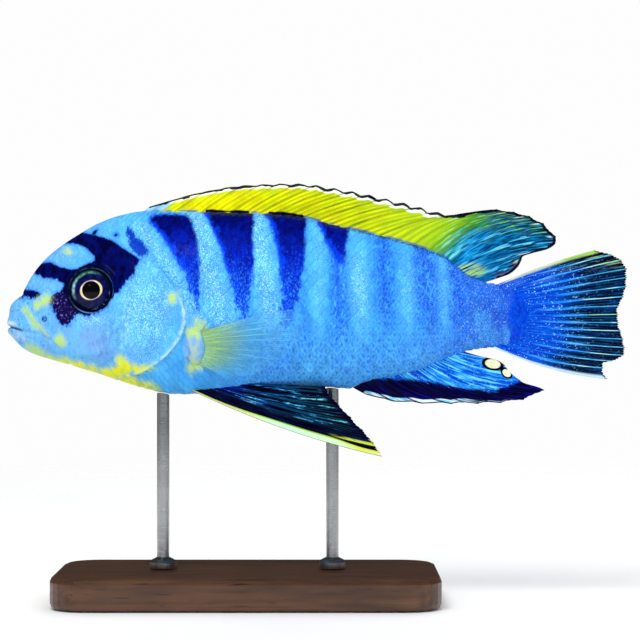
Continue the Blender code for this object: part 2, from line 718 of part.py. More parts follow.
def main():
    clear_scene()
    fish = new_collection("hongi_cichlid")
    stand = new_collection("stand")
    cutters = new_collection("cutters")
    skin = finish_material("skin", (0.10, 0.36, 0.86), 0.35)
    yellow = finish_material("dorsal_yellow", (0.72, 0.72, 0.05), 0.4)
    blue = finish_material("fin_blue", (0.03, 0.16, 0.62), 0.4)
    clear = finish_material("fin_clear", (0.42, 0.66, 0.62), 0.35)
    eye = finish_material("eye", (0.01, 0.01, 0.03), 0.08)
    wood = finish_material("base_wood", (0.10, 0.05, 0.03), 0.45)
    steel = finish_material("rod_steel", (0.6, 0.6, 0.6), 0.3, metallic=1.0)
    make_body(fish, cutters, skin)
    make_eyes(fish, eye)
    surface = body_object("body_surface", GAP, cutters)
    surface.hide_render = True
    surface.display_type = "WIRE"
    make_dorsal_fin(fish, surface, yellow)
    make_anal_fin(fish, surface, blue)
    make_tail_fin(fish, surface, blue)
    for label, side in (("left", -1), ("right", 1)):
        make_pelvic_fin(label, side, fish, surface, blue)
        make_pectoral_fin(label, side, fish, surface, clear)
    for label, station in ROD_STATIONS.items():
        rod_object(f"stand_rod_{label}", station, surface, stand, steel)
    base_object(stand, wood)


main()
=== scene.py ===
import math
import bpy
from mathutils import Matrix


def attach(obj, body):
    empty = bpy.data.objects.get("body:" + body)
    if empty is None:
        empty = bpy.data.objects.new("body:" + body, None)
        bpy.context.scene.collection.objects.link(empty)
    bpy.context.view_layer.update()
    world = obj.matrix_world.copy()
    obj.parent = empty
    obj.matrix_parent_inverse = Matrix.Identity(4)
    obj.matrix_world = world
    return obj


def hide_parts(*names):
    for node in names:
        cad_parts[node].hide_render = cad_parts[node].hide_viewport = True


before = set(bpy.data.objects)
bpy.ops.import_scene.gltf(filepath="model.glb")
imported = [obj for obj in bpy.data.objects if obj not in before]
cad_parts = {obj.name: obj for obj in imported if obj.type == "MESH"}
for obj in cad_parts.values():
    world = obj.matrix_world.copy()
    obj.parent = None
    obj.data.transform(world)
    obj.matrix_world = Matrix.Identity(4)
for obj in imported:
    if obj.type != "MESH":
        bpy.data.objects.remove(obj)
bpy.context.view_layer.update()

from types import SimpleNamespace

import bpy
import numpy as np
from mathutils import Matrix, Vector

# A hongi cichlid as a display model. The fish is described in millimetres: a station is a distance behind
# the snout, a height is measured from the body's axis, and a side distance from the middle plane.
mm = 0.001
fishLength = 120.0
axisHeight = 55.0


# Helpers for shapes

# Smooth curve through (place, value) knots that never overshoots: cubic pieces whose slope at a knot is
# the weighted harmonic mean of the slopes on both sides, and zero where the curve turns back.
def smoothThrough(knots):
    places, values = np.array(knots, float).T
    steps = np.diff(places)
    slopes = np.diff(values) / steps
    tangents = np.concatenate([slopes[:1], np.zeros(len(places) - 2), slopes[-1:]])
    first, second = 2 * steps[1:] + steps[:-1], steps[1:] + 2 * steps[:-1]
    with np.errstate(divide="ignore", invalid="ignore"):
        blended = (first + second) / (first / slopes[:-1] + second / slopes[1:])
    tangents[1:-1] = np.where(slopes[:-1] * slopes[1:] > 0, blended, 0.0)

    def valueAt(place):
        place = np.clip(np.asarray(place, float), places[0], places[-1])
        index = np.clip(np.searchsorted(places, place) - 1, 0, len(steps) - 1)
        step = steps[index]
        share = (place - places[index]) / step
        rest = 1 - share
        return (
            values[index] * (1 + 2 * share) * rest**2 + values[index + 1] * share**2 * (3 - 2 * share)
            + step * share * rest * (tangents[index] * rest - tangents[index + 1] * share)
        )

    return valueAt


# The same curve with knots spread by the square root of the station, so that the snout starts round.
def curveByRoot(knots):
    rooted = smoothThrough([(math.sqrt(place), value) for place, value in knots])
    return lambda station: rooted(np.sqrt(np.maximum(station, 0.0)))


# 0 below low, 1 above high, and an S-curve 3t^2 - 2t^3 between them.
def smoothStep(value, low, high):
    t = np.clip((value - low) / (high - low), 0.0, 1.0)
    return t * t * (3 - 2 * t)


# A bell: 1 at zero distance, falling off over the width.
def bell(distance, width):
    return np.exp(-((distance / width) ** 2))


# The fish's own millimetres as points in the frame, in metres.
def place(station, side, height):
    station, side, height = np.broadcast_arrays(station, side, height)
    return np.stack([station - fishLength / 2, side, height + axisHeight], axis=-1) * mm


# A mesh from arrays of points and of faces; each array of faces holds faces with equally many corners.
def meshFrom(name, points, *faceArrays):
    mesh = bpy.data.meshes.new(name)
    corners = np.concatenate([faces.ravel() for faces in faceArrays]).astype(np.int32)
    counts = np.concatenate([np.full(len(faces), faces.shape[1]) for faces in faceArrays])
    starts = np.concatenate([[0], np.cumsum(counts)[:-1]]).astype(np.int32)
    mesh.vertices.add(len(points))
    mesh.vertices.foreach_set("co", np.asarray(points, np.float32).ravel())
    mesh.loops.add(len(corners))
    mesh.loops.foreach_set("vertex_index", corners)
    mesh.polygons.add(len(starts))
    mesh.polygons.foreach_set("loop_start", starts)
    mesh.update(calc_edges=True)
    if signedVolume(points, faceArrays) < 0:
        mesh.flip_normals()
    return mesh


# Sum over all triangles of a fan of each face of the box product of its corners, over six.
def signedVolume(points, faceArrays):
    points = np.asarray(points)
    total = 0.0
    for faces in faceArrays:
        for k in range(1, faces.shape[1] - 1):
            a, b, c = points[faces[:, 0]], points[faces[:, k]], points[faces[:, k + 1]]
            total += np.einsum("ij,ij->i", a, np.cross(b, c)).sum() / 6
    return total


# Quads between the rows of a grid of points; a closed grid joins its last column to its first.
def gridFaces(rows, columns, closed=False, first=0):
    last = columns if closed else columns - 1
    row, column = np.meshgrid(np.arange(rows - 1), np.arange(last), indexing="ij")
    after = (column + 1) % columns
    a = first + row * columns + column
    b = first + row * columns + after
    return np.stack([a, b, b + columns, a + columns], axis=-1).reshape(-1, 4)


# The points round the edge of a grid.
def rimOf(grid):
    return np.concatenate([grid[0, :-1], grid[:-1, -1], grid[-1, :0:-1], grid[:0:-1, 0]])


# Quads between two rings with equally many points.
def wallFaces(ring, other):
    return np.stack([ring, np.roll(ring, -1), np.roll(other, -1), other], axis=-1)


# Triangles from one point to each edge of a ring of points.
def fanFaces(pole, ring):
    ring = np.asarray(ring)
    return np.stack([np.full(len(ring), pole), np.roll(ring, -1), ring], axis=-1)


def addField(mesh, name, values):
    made = mesh.attributes.new(name, "FLOAT", "POINT")
    made.data.foreach_set("value", np.asarray(values, np.float32).ravel())


def addUvMap(mesh, name, perPoint):
    made = mesh.uv_layers.new(name=name)
    corners = np.zeros(len(mesh.loops), np.int32)
    mesh.loops.foreach_get("vertex_index", corners)
    made.data.foreach_set("uv", np.asarray(perPoint, np.float32)[corners].ravel())


# Puts a finished mesh in the scene as a piece that rides on the model and takes over its solids.
def addPiece(mesh, material, slot, *replaced, sharpAngle=None):
    piece = bpy.data.objects.new(mesh.name, mesh)
    bpy.context.scene.collection.objects.link(piece)
    mesh.materials.append(material)
    mesh.shade_smooth()
    if sharpAngle:
        mesh.set_sharp_from_angle(angle=math.radians(sharpAngle))
    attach(piece, "root")
    if replaced:
        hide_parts(*replaced)
    return piece


# Helpers for materials

# A colour given as 0-255 screen values, as the linear values that shaders use.
def paint(red, green, blue):
    shares = np.array([red, green, blue]) / 255
    linear = np.where(shares <= 0.04045, shares / 12.92, ((shares + 0.055) / 1.055) ** 2.4)
    return (*linear.tolist(), 1.0)


# A value in a node tree: a sum, difference, product or quotient of values is a Math node in that tree.
class Value:
    def __init__(self, socket):
        self.socket = socket

    def __add__(self, other):
        return calc("ADD", self, other)

    def __sub__(self, other):
        return calc("SUBTRACT", self, other)

    def __rsub__(self, other):
        return calc("SUBTRACT", other, self)

    def __mul__(self, other):
        return calc("MULTIPLY", self, other)

    def __truediv__(self, other):
        return calc("DIVIDE", self, other)

    def __abs__(self):
        return calc("ABSOLUTE", self, 0.0)

    __radd__, __rmul__ = __add__, __mul__


# The tree that the first value among these is in.
def treeOf(*values):
    return next(value.socket.id_data for value in values if isinstance(value, Value))


def feed(socket, value):
    if isinstance(value, Value):
        socket.id_data.links.new(value.socket, socket)
    else:
        socket.default_value = value


# A new node with these settings and inputs; gives one of its outputs.
def nodeIn(tree, kind, inputs, output, **settings):
    made = tree.nodes.new("ShaderNode" + kind)
    for name, setting in settings.items():
        setattr(made, name, setting)
    for name, value in inputs.items():
        feed(made.inputs[name], value)
    return Value(made.outputs[output])


def fieldOf(tree, name):
    return nodeIn(tree, "Attribute", {}, "Fac", attribute_name=name)


def fieldsOf(tree, *names):
    return [fieldOf(tree, name) for name in names]


def calc(operation, first, second):
    return nodeIn(treeOf(first, second), "Math", {0: first, 1: second}, 0, operation=operation)


def clamped(value):
    value.socket.node.use_clamp = True
    return value


# 0 at low and below, 1 at high and above, smooth between; low may be the larger of the two.
def rise(value, low, high):
    inputs = {"Value": value, "From Min": low, "From Max": high}
    return nodeIn(treeOf(value), "MapRange", inputs, "Result", interpolation_type="SMOOTHSTEP")


def blend(share, under, over):
    return nodeIn(
        treeOf(share), "Mix", {"Factor": share, "A": under, "B": over}, "Result", data_type="RGBA",
    )


# One colour laid over another by a share.
def laid(share, under, over, strength=1.0):
    return blend(clamped(share * strength), under, over)


# Layers laid on a colour one after another, each with its share, its own colour and its strength.
def layered(colour, *layers):
    for share, *overAndStrength in layers:
        colour = laid(share, colour, *overAndStrength)
    return colour


def ramp(value, *stops):
    colours = nodeIn(treeOf(value), "ValToRGB", {"Fac": value}, "Color")
    elements = colours.socket.node.color_ramp.elements
    while len(elements) < len(stops):
        elements.new(1.0)
    for element, (position, colour) in zip(elements, stops):
        element.position = position
        element.color = colour
    return colours


def noise(where, scale, detail=2.0, roughness=0.5):
    inputs = {"Vector": where, "Scale": scale, "Detail": detail, "Roughness": roughness}
    return nodeIn(treeOf(where), "TexNoise", inputs, "Fac")


def stretched(where, factors, turn=(0.0, 0.0, 0.0)):
    inputs = {"Vector": where, "Rotation": [math.radians(angle) for angle in turn], "Scale": factors}
    return nodeIn(treeOf(where), "Mapping", inputs, "Vector")


def objectPlace(tree):
    return nodeIn(tree, "TexCoord", {}, "Object")


def bumpFrom(height, strength, distance):
    inputs = {"Strength": strength, "Distance": distance, "Height": height}
    return nodeIn(treeOf(height), "Bump", inputs, "Normal")


def setInputs(node, **values):
    for label, value in values.items():
        feed(node.inputs[label.replace("_", " ")], value)


# An empty node group with number inputs (with their values) and outputs of the kinds given.
def newGroup(name, inputs, outputs):
    group = bpy.data.node_groups.new(name, "ShaderNodeTree")
    for label, value in inputs.items():
        socket = group.interface.new_socket(label, in_out="INPUT", socket_type="NodeSocketFloat")
        socket.default_value = value
    for label, kind in outputs.items():
        group.interface.new_socket(label, in_out="OUTPUT", socket_type="NodeSocket" + kind)
    ins = valuesOf(group.nodes.new("NodeGroupInput"))
    return group, ins, group.nodes.new("NodeGroupOutput")


# A group placed in a tree, with its inputs set; gives all its outputs by name.
def groupIn(tree, group, **values):
    placed = tree.nodes.new("ShaderNodeGroup")
    placed.node_tree = group
    setInputs(placed, **values)
    return valuesOf(placed)


def valuesOf(node):
    return {socket.name: Value(socket) for socket in node.outputs}


def newMaterial(name, **constants):
    made = bpy.data.materials.new(name)
    made.use_nodes = True
    shader = made.node_tree.nodes["Principled BSDF"]
    setInputs(shader, **constants)
    return made, made.node_tree, shader


# The shades of a piece as colours, by name.
def tintsOf(shades):
    return SimpleNamespace(**{name: paint(*shade) for name, shade in shades.items()})


# The body's form

bodyForm = dict(
    back=(
        (0.0, -2.0), (0.07, 0.9), (0.3, 2.0), (1.0, 2.95), (2.1, 3.9), (2.9, 5.1), (4.1, 7.3), (5.6, 9.5),
        (8.0, 12.0), (13.8, 16.1), (17.6, 18.2), (21.5, 19.6), (26.0, 20.4), (39.0, 20.3), (53.5, 19.8),
        (64.2, 17.5), (75.8, 14.7), (84.0, 11.8), (89.5, 7.6), (94.5, 6.3), (98.0, 5.9), (100.5, 3.4),
        (101.6, 0.0),
    ),
    belly=(
        (0.0, -2.0), (0.2, -3.0), (0.7, -4.0), (1.5, -5.0), (3.7, -6.8), (9.9, -8.9), (17.6, -11.2),
        (25.4, -13.8), (33.0, -15.1), (48.7, -14.3), (60.3, -13.6), (65.8, -14.0), (69.0, -12.7),
        (75.8, -11.3), (79.7, -10.3), (83.6, -8.5), (89.4, -6.6), (94.0, -6.0), (98.0, -5.8),
        (100.5, -3.4), (101.6, 0.0),
    ),
    halfWidth=(
        (0.0, 0.0), (0.2, 1.5), (1.0, 2.6), (2.1, 3.2), (4.1, 4.2), (8.0, 5.4), (14.0, 6.7), (20.0, 7.6),
        (28.0, 8.4), (38.0, 8.7), (52.0, 8.0), (60.0, 7.1), (68.0, 5.9), (76.0, 4.5), (84.0, 3.2),
        (90.0, 2.3), (95.0, 1.5), (98.0, 0.95), (100.5, 0.55), (101.6, 0.0),
    ),
    widest=(
        (0.0, -2.0), (3.6, -2.4), (8.0, -1.4), (15.0, -0.5), (30.0, 1.5), (45.0, 2.5), (70.0, 1.2),
        (101.6, 0.0),
    ),
    end=101.6,
    upperSquareness=1.9,
    lowerSquareness=2.2,
)
backAt = curveByRoot(bodyForm["back"])
bellyAt = curveByRoot(bodyForm["belly"])
halfWidthAt = curveByRoot(bodyForm["halfWidth"])
widestAt = curveByRoot(bodyForm["widest"])

headForm = dict(
    mouth=((-2.0, -1.9), (0.5, -2.1), (3.6, -2.9)),
    cheekFold=((2.2, 7.0), (2.5, 3.8), (3.7, 0.6), (5.5, -1.8), (7.6, -4.1)),
    jawLine=((3.6, -2.9), (7.6, -4.1), (10.5, -7.0), (13.5, -12.5)),
    gillSlit=(
        (25.6, 24.0), (27.5, 14.0), (29.6, 9.6), (32.4, 5.6), (34.2, 2.6), (34.8, -0.5), (34.0, -3.4),
        (32.2, -6.2), (29.4, -8.8), (25.8, -10.9), (21.4, -12.3), (17.0, -15.0),
    ),
    coverFront=(
        (28.5, 10.2), (25.6, 8.4), (24.1, 4.8), (23.7, 0.5), (23.2, -3.6), (21.7, -7.2), (19.2, -9.8),
    ),
    cheekRidge=((20.6, 3.2), (21.4, -0.6), (20.6, -4.2), (18.0, -6.8), (13.4, -7.4)),
    coverHeight=0.45,
    lipHeight=0.32,
    lipOffset=0.95,
    lipWidth=0.75,
    lipEnd=5.2,
    lipFade=3.2,
    gape=(0.5, 4.2, 2.0, 0.2),          # depth of the mouth's line, its end, the fade there and half width
    ridge=(0.3, 0.9),                   # height and half width of the cheek's ridge
    coverRamp=(18.0, 10.0),             # where the gill cover's lift begins, and over what length it grows
    nostrilRim=(0.14, 0.55, 0.22),      # height, radius and half width
    nostrilHole=(0.5, 0.3),             # depth and half width
    nostril=(7.5, -0.5),
    lobeCentre=(36.6, -6.0),
    lobeSize=(1.9, 0.9, 3.5),
    lobeSunk=0.1,
    # depth and half width of each fold
    folds=(("cheekFold", 0.26, 0.34), ("jawLine", 0.2, 0.4), ("coverFront", 0.22, 0.45)),
    pores=((9.3, -1.2), (11.6, -1.5), (13.9, -1.4), (16.4, -0.9), (18.7, 0.2), (9.0, -6.9), (12.4, -8.2)),
    poreDepth=0.12,
    poreWidth=0.17,
)
mouthAt = smoothThrough(headForm["mouth"])
gillStationAt = smoothThrough([(height, station) for station, height in reversed(headForm["gillSlit"])])

eyeForm = dict(
    centre=(16.6, 4.93),
    radius=3.95,
    socketRadius=4.35,
    socketDepth=2.6,
    socketRim=(0.22, 4.6, 0.6),         # height, radius and half width
    halfDepth=2.5,
    standsOut=1.15,
    turnForward=math.radians(-2.0),
    turnUp=math.radians(2.0),
    pupil=1.72,
    goldEdge=1.86,
    goldCrescent=0.28,
    ringRadius=4.3,
)


# Squarish oval at each station: height = level + reach * cos^(2/n), side = half width * sin^(2/n), with
# the signs kept, where the angle runs from the back (0) round the right side to the belly (pi).
def ovalAt(station, angle):
    up, out = np.cos(angle), np.sin(angle)
    power = 2 / np.where(up > 0, bodyForm["upperSquareness"], bodyForm["lowerSquareness"])
    level = widestAt(station)
    reach = np.where(up > 0, backAt(station) - level, level - bellyAt(station))
    height = level + reach * np.sign(up) * np.abs(up) ** power
    side = halfWidthAt(station) * np.sign(out) * np.abs(out) ** power
    return height, side


# Half width of the plain body at a station and height: the same oval solved for its side distance.
def flankAt(station, height):
    level = widestAt(station)
    upper = height > level
    reach = np.where(upper, backAt(station) - level, level - bellyAt(station))
    n = np.where(upper, bodyForm["upperSquareness"], bodyForm["lowerSquareness"])
    share = np.clip(np.abs(height - level) / np.maximum(reach, 1e-6), 0.0, 1.0)
    return halfWidthAt(station) * (1 - share**n) ** (1 / n)


# Unit normals of the plain body: the cross product of small steps along the station and the angle.
def normalAt(station, angle, step=0.02):
    def point(s, a):
        height, side = ovalAt(s, a)
        return np.stack([s + 0 * height, side, height], axis=-1)

    ahead, behind = point(station + step, angle), point(np.maximum(station - step, 0.0), angle)
    along = ahead - behind
    around = point(station, angle + step) - point(station, angle - step)
    normal = np.cross(along, around)
    return normal / np.maximum(np.linalg.norm(normal, axis=-1, keepdims=True), 1e-9)


# Points along a line of knots, with so many pieces between each two, each coordinate on a smooth curve.
def smoothLine(knots, pieces=6):
    order = range(len(knots))
    along = np.linspace(0, len(knots) - 1, pieces * (len(knots) - 1) + 1)
    return np.stack([smoothThrough(list(zip(order, column)))(along) for column in zip(*knots)], axis=1)


# A closed smooth ring through its knots: cubic pieces whose slope at each knot runs between its
# neighbours.
def smoothRing(knots, pieces=4):
    knots = np.array(knots, float)
    before, after, next2 = np.roll(knots, 1, 0), np.roll(knots, -1, 0), np.roll(knots, -2, 0)
    rows = []
    for t in np.arange(pieces) / pieces:
        rows.append(
            knots + 0.5 * t * (after - before)
            + t * t * (before - 2.5 * knots + 2 * after - 0.5 * next2)
            + t**3 * (-0.5 * before + 1.5 * knots - 1.5 * after + 0.5 * next2)
        )
    return np.stack(rows, axis=1).reshape(-1, 2)


# Least distance to a line's pieces, in millimetres, worked out only near the line and held at the reach
# further out. For a closed ring the distance is negative outside and positive inside, where a ray towards
# the tail crosses the ring an odd number of times.
def distanceTo(line, station, height, closed=False, reach=2.5):
    station, height = np.broadcast_arrays(station, height)
    found = np.full(station.shape, reach)
    inside = np.zeros(station.shape, bool)
    low, high = line.min(axis=0) - reach, line.max(axis=0) + reach
    near = (station > low[0]) & (station < high[0]) & (height > low[1]) & (height < high[1])
    s, h = station[near], height[near]
    best, within = np.full(s.shape, reach), np.zeros(s.shape, bool)
    ends = np.roll(line, -1, axis=0) if closed else line[1:]
    for (s1, h1), (s2, h2) in zip(line, ends):
        run, climb = s2 - s1, h2 - h1
        t = np.clip(((s - s1) * run + (h - h1) * climb) / max(run**2 + climb**2, 1e-9), 0.0, 1.0)
        best = np.minimum(best, np.hypot(s - s1 - t * run, h - h1 - t * climb))
        if h1 != h2:
            crosses = (h1 > h) != (h2 > h)
            within ^= crosses & (s < s1 + (h - h1) * run / climb)
    found[near] = best
    inside[near] = within
    return np.where(inside, found, -found) if closed else found


def fromPoint(point, station, height):
    return np.hypot(station - point[0], height - point[1])


# Distance from an oval's middle, in shares of its half sizes.
def fromOval(middle, sizes, station, height):
    return np.hypot((station - middle[0]) / sizes[0], (height - middle[1]) / sizes[1])


def fromLine(knots, station, height):
    return distanceTo(smoothLine(knots), station, height)


# Height of the skin over the plain body, apart from the gill slit: lips on both sides of the mouth, the
# folds of the jaws and cheek, the rising gill cover, the socket, the nostril and the pectoral's lobe.
def reliefAt(station, height, coverShare):
    form = headForm
    fromMouth = height - mouthAt(station)
    lipFade = smoothStep(form["lipEnd"] - station, 0.0, form["lipFade"])
    lifted = form["lipHeight"] * lipFade * (
        bell(fromMouth - form["lipOffset"], form["lipWidth"])
        + bell(fromMouth + form["lipOffset"], form["lipWidth"])
    )
    depth, end, fade, width = form["gape"]
    lifted -= depth * smoothStep(end - station, 0.0, fade) * bell(fromMouth, width)
    for line, depth, width in form["folds"]:
        lifted -= depth * bell(fromLine(form[line], station, height), width)
    ridge, width = form["ridge"]
    lifted += ridge * bell(fromLine(form["cheekRidge"], station, height), width)
    start, length = form["coverRamp"]
    lifted += coverShare * form["coverHeight"] * np.clip((station - start) / length, 0.0, 1.0)
    fromEye = fromPoint(eyeForm["centre"], station, height)
    socket = 1 - smoothStep(fromEye, eyeForm["radius"], eyeForm["socketRadius"])
    rim, radius, width = eyeForm["socketRim"]
    lifted += rim * bell(fromEye - radius, width) - eyeForm["socketDepth"] * socket
    fromNostril = fromPoint(form["nostril"], station, height)
    rim, radius, width = form["nostrilRim"]
    hole, holeWidth = form["nostrilHole"]
    lifted += rim * bell(fromNostril - radius, width) - hole * bell(fromNostril, holeWidth)
    for pore in form["pores"]:
        lifted -= form["poreDepth"] * bell(fromPoint(pore, station, height), form["poreWidth"])
    centre, size = form["lobeCentre"], form["lobeSize"]
    share = ((station - centre[0]) / size[0]) ** 2 + ((height - centre[1]) / size[2]) ** 2
    lobe = size[1] * np.sqrt(np.clip(1 - share, 0.0, 1.0)) - form["lobeSunk"]
    return np.where(share < 1, np.maximum(lifted, lobe), lifted)


# The fish's markings, as fields in millimetres: how far a point lies inside a mark

markings = dict(
    bars=(
        ((28.2, 19.8), (27.2, 18.9), (27.9, 17.4), (29.9, 14.9), (32.2, 11.4), (34.2, 7.9), (35.1, 5.0),
         (36.2, 1.6), (36.7, -0.6), (37.0, 1.4), (37.1, 8.9), (36.7, 13.6), (35.9, 17.4), (34.9, 19.3),
         (33.2, 19.9)),
        ((37.2, 21.4), (38.2, 19.2), (39.9, 15.5), (41.5, 11.6), (43.4, 4.5), (44.7, 0.0), (45.4, -3.6),
         (45.9, 0.0), (46.6, 3.9), (47.5, 10.3), (47.3, 15.5), (46.7, 21.4)),
        ((49.2, 20.8), (50.4, 18.2), (51.2, 15.5), (52.1, 11.6), (52.7, 3.9), (53.1, 0.6), (53.6, -3.6),
         (54.9, 0.6), (55.9, 4.5), (57.0, 9.0), (57.4, 14.2), (57.0, 20.3)),
        ((59.8, 18.6), (60.9, 15.6), (61.9, 13.3), (63.2, 11.0), (64.0, 9.4), (64.7, 10.4), (65.3, 13.0),
         (65.5, 17.9)),
    ),
    cameraDistance=450.0,
    pictureMiddle=(60.3, -0.7),             # station and height
    # dark columns of the rear: strength, station at height 0, lean, half width and lower end
    rearBands=(
        (0.85, 64.2, -0.05, 1.9, -8.0), (0.78, 73.2, -0.06, 2.1, -6.0), (0.8, 81.0, -0.05, 2.0, -5.0),
        (0.7, 87.4, -0.05, 1.5, -5.0), (0.4, 57.2, -0.02, 1.2, -7.0), (0.35, 45.8, 0.0, 1.2, -7.0),
        (0.3, 54.6, 0.0, 1.6, -9.0),
    ),
    backLines=((42.2, 4.0), (53.6, 3.2)),       # dark lines along the back: middle, half length
    frontGaps=((41.5, -0.25, 2.6), (51.0, -0.16, 2.2)),     # pale granules: station, lean, half width
    # and further back: strength, station, lean, half width, middle height and half height
    rearGaps=(
        (0.9, 68.3, -0.06, 1.7, 5.5, 7.5), (0.45, 77.2, 0.0, 1.6, 4.5, 7.0),
        (0.35, 84.2, 0.0, 1.2, 5.0, 5.0),
    ),
    clearColumns=((68.6, 2.2), (77.3, 1.9), (84.5, 1.2), (60.0, 1.8)),      # pale ones: station, half width
    headDark=(
        ((9.6, 14.6), (10.9, 14.2), (12.8, 14.1), (14.6, 13.5), (15.9, 12.4), (16.7, 11.1), (15.4, 10.2),
         (12.6, 9.1), (9.6, 9.7), (7.7, 10.6), (5.2, 9.8), (5.0, 8.4), (6.8, 7.4), (7.9, 7.0), (9.1, 7.2),
         (10.5, 6.4), (10.5, 5.2), (8.6, 4.1), (7.9, 2.9), (8.5, 1.5), (9.4, -0.3), (10.7, -1.7),
         (12.2, -0.7), (13.5, 0.6), (15.9, 0.2), (18.4, 1.6), (20.4, 3.7), (22.4, 6.2), (24.0, 7.9),
         (24.6, 9.7), (25.4, 10.9), (24.0, 12.0), (22.2, 13.2), (20.0, 14.7), (17.1, 15.6), (14.5, 16.3),
         (12.8, 16.5), (10.8, 16.0)),
        ((2.6, 5.3), (3.9, 5.2), (5.8, 4.6), (5.5, 3.8), (3.9, 3.7), (2.2, 4.0)),
        ((15.9, 15.7), (16.5, 16.6), (17.2, 16.9), (16.8, 16.1)),
        ((20.3, 15.9), (20.8, 16.1), (21.2, 15.8), (20.7, 15.5)),
    ),
    behindGill=((25.2, 17.2), (29.4, 11.8), (33.0, 6.4), (35.4, 1.6), (37.4, -1.0)),
    napePatch=(
        ((22.9, 17.2), (24.2, 16.4), (26.4, 13.6), (27.0, 12.0), (25.6, 11.6), (24.2, 12.6),
         (23.2, 14.6)),
    ),
    lacrimal=(
        ((7.8, 3.4), (9.1, 4.6), (11.1, 4.6), (12.8, 3.0), (13.4, 1.0), (12.2, -0.7), (10.7, -1.8),
         (9.4, -0.4), (8.4, 1.6)),
    ),
    yellowStrokes=(
        (0.7, ((7.5, 3.5), (6.6, 2.8), (5.6, 2.2))),
        (0.3, ((3.3, 1.4), (4.0, 0.4), (4.9, -1.2), (5.6, -2.0))),
        (-0.1, ((5.6, -2.0), (6.4, -2.7), (7.6, -3.8))),
        (0.7, ((9.6, -4.6), (10.2, -5.1))),
        (0.6, ((3.9, -6.0), (4.9, -6.6), (6.2, -7.6))),
        (1.1, ((7.6, -8.6), (9.1, -9.0), (12.6, -9.9), (16.7, -11.1), (20.2, -11.9))),
        (1.05, ((20.2, -10.9), (21.9, -10.4), (23.0, -9.9))),
        (0.75, ((21.7, -8.4), (22.3, -9.6))),
        (0.5, ((23.2, -10.2), (25.6, -10.0), (27.6, -9.6))),
        (1.15, ((22.0, -12.6), (25.0, -13.6), (28.1, -14.6))),
        (0.8, ((31.9, 3.7), (31.9, 3.3))),
        (0.9, ((35.6, -3.0), (36.2, -2.8))),
        (0.85, ((35.4, -9.9), (36.2, -9.6))),
        (0.5, ((36.4, -1.0), (37.8, -2.4), (38.9, -4.2), (39.1, -6.2), (38.7, -8.4), (37.2, -9.6))),
        (0.3, ((11.0, 12.9), (11.7, 12.5))),
    ),
    palePatches=(
        ((3.9, 6.4), (5.6, 8.0), (6.8, 7.4), (9.1, 7.2), (10.5, 6.2), (9.1, 4.4), (7.0, 4.6),
         (4.6, 5.4)),
    ),
    # ovals of the lilac blush and of the granules on the gill cover and below the eye: middle and sizes
    cheekBlush=((15.5, -5.5), (8.0, 4.6)),
    coverSpeckle=((27.5, 1.0), (5.2, 10.5)),
    belowEye=((16.2, -0.6), (3.2, 1.1)),
)


def fieldOfRings(rings, station, height):
    return np.max([distanceTo(smoothRing(ring), station, height, closed=True) for ring in rings], axis=0)


def fieldOfStrokes(strokes, station, height):
    return np.max([
        radius - distanceTo(smoothLine(line, 3), station, height, reach=4.0) for radius, line in strokes
    ], axis=0)


# Where the photo shows a point of the flank. What lies nearer to its camera than the middle plane looks
# spread out from the picture's middle, by the side distance over the camera's distance.
def seenPlace(station, height):
    middleS, middleH = markings["pictureMiddle"]
    spread = 1 + flankAt(station, height) / markings["cameraDistance"]
    return middleS + (station - middleS) * spread, middleH + (height - middleH) * spread


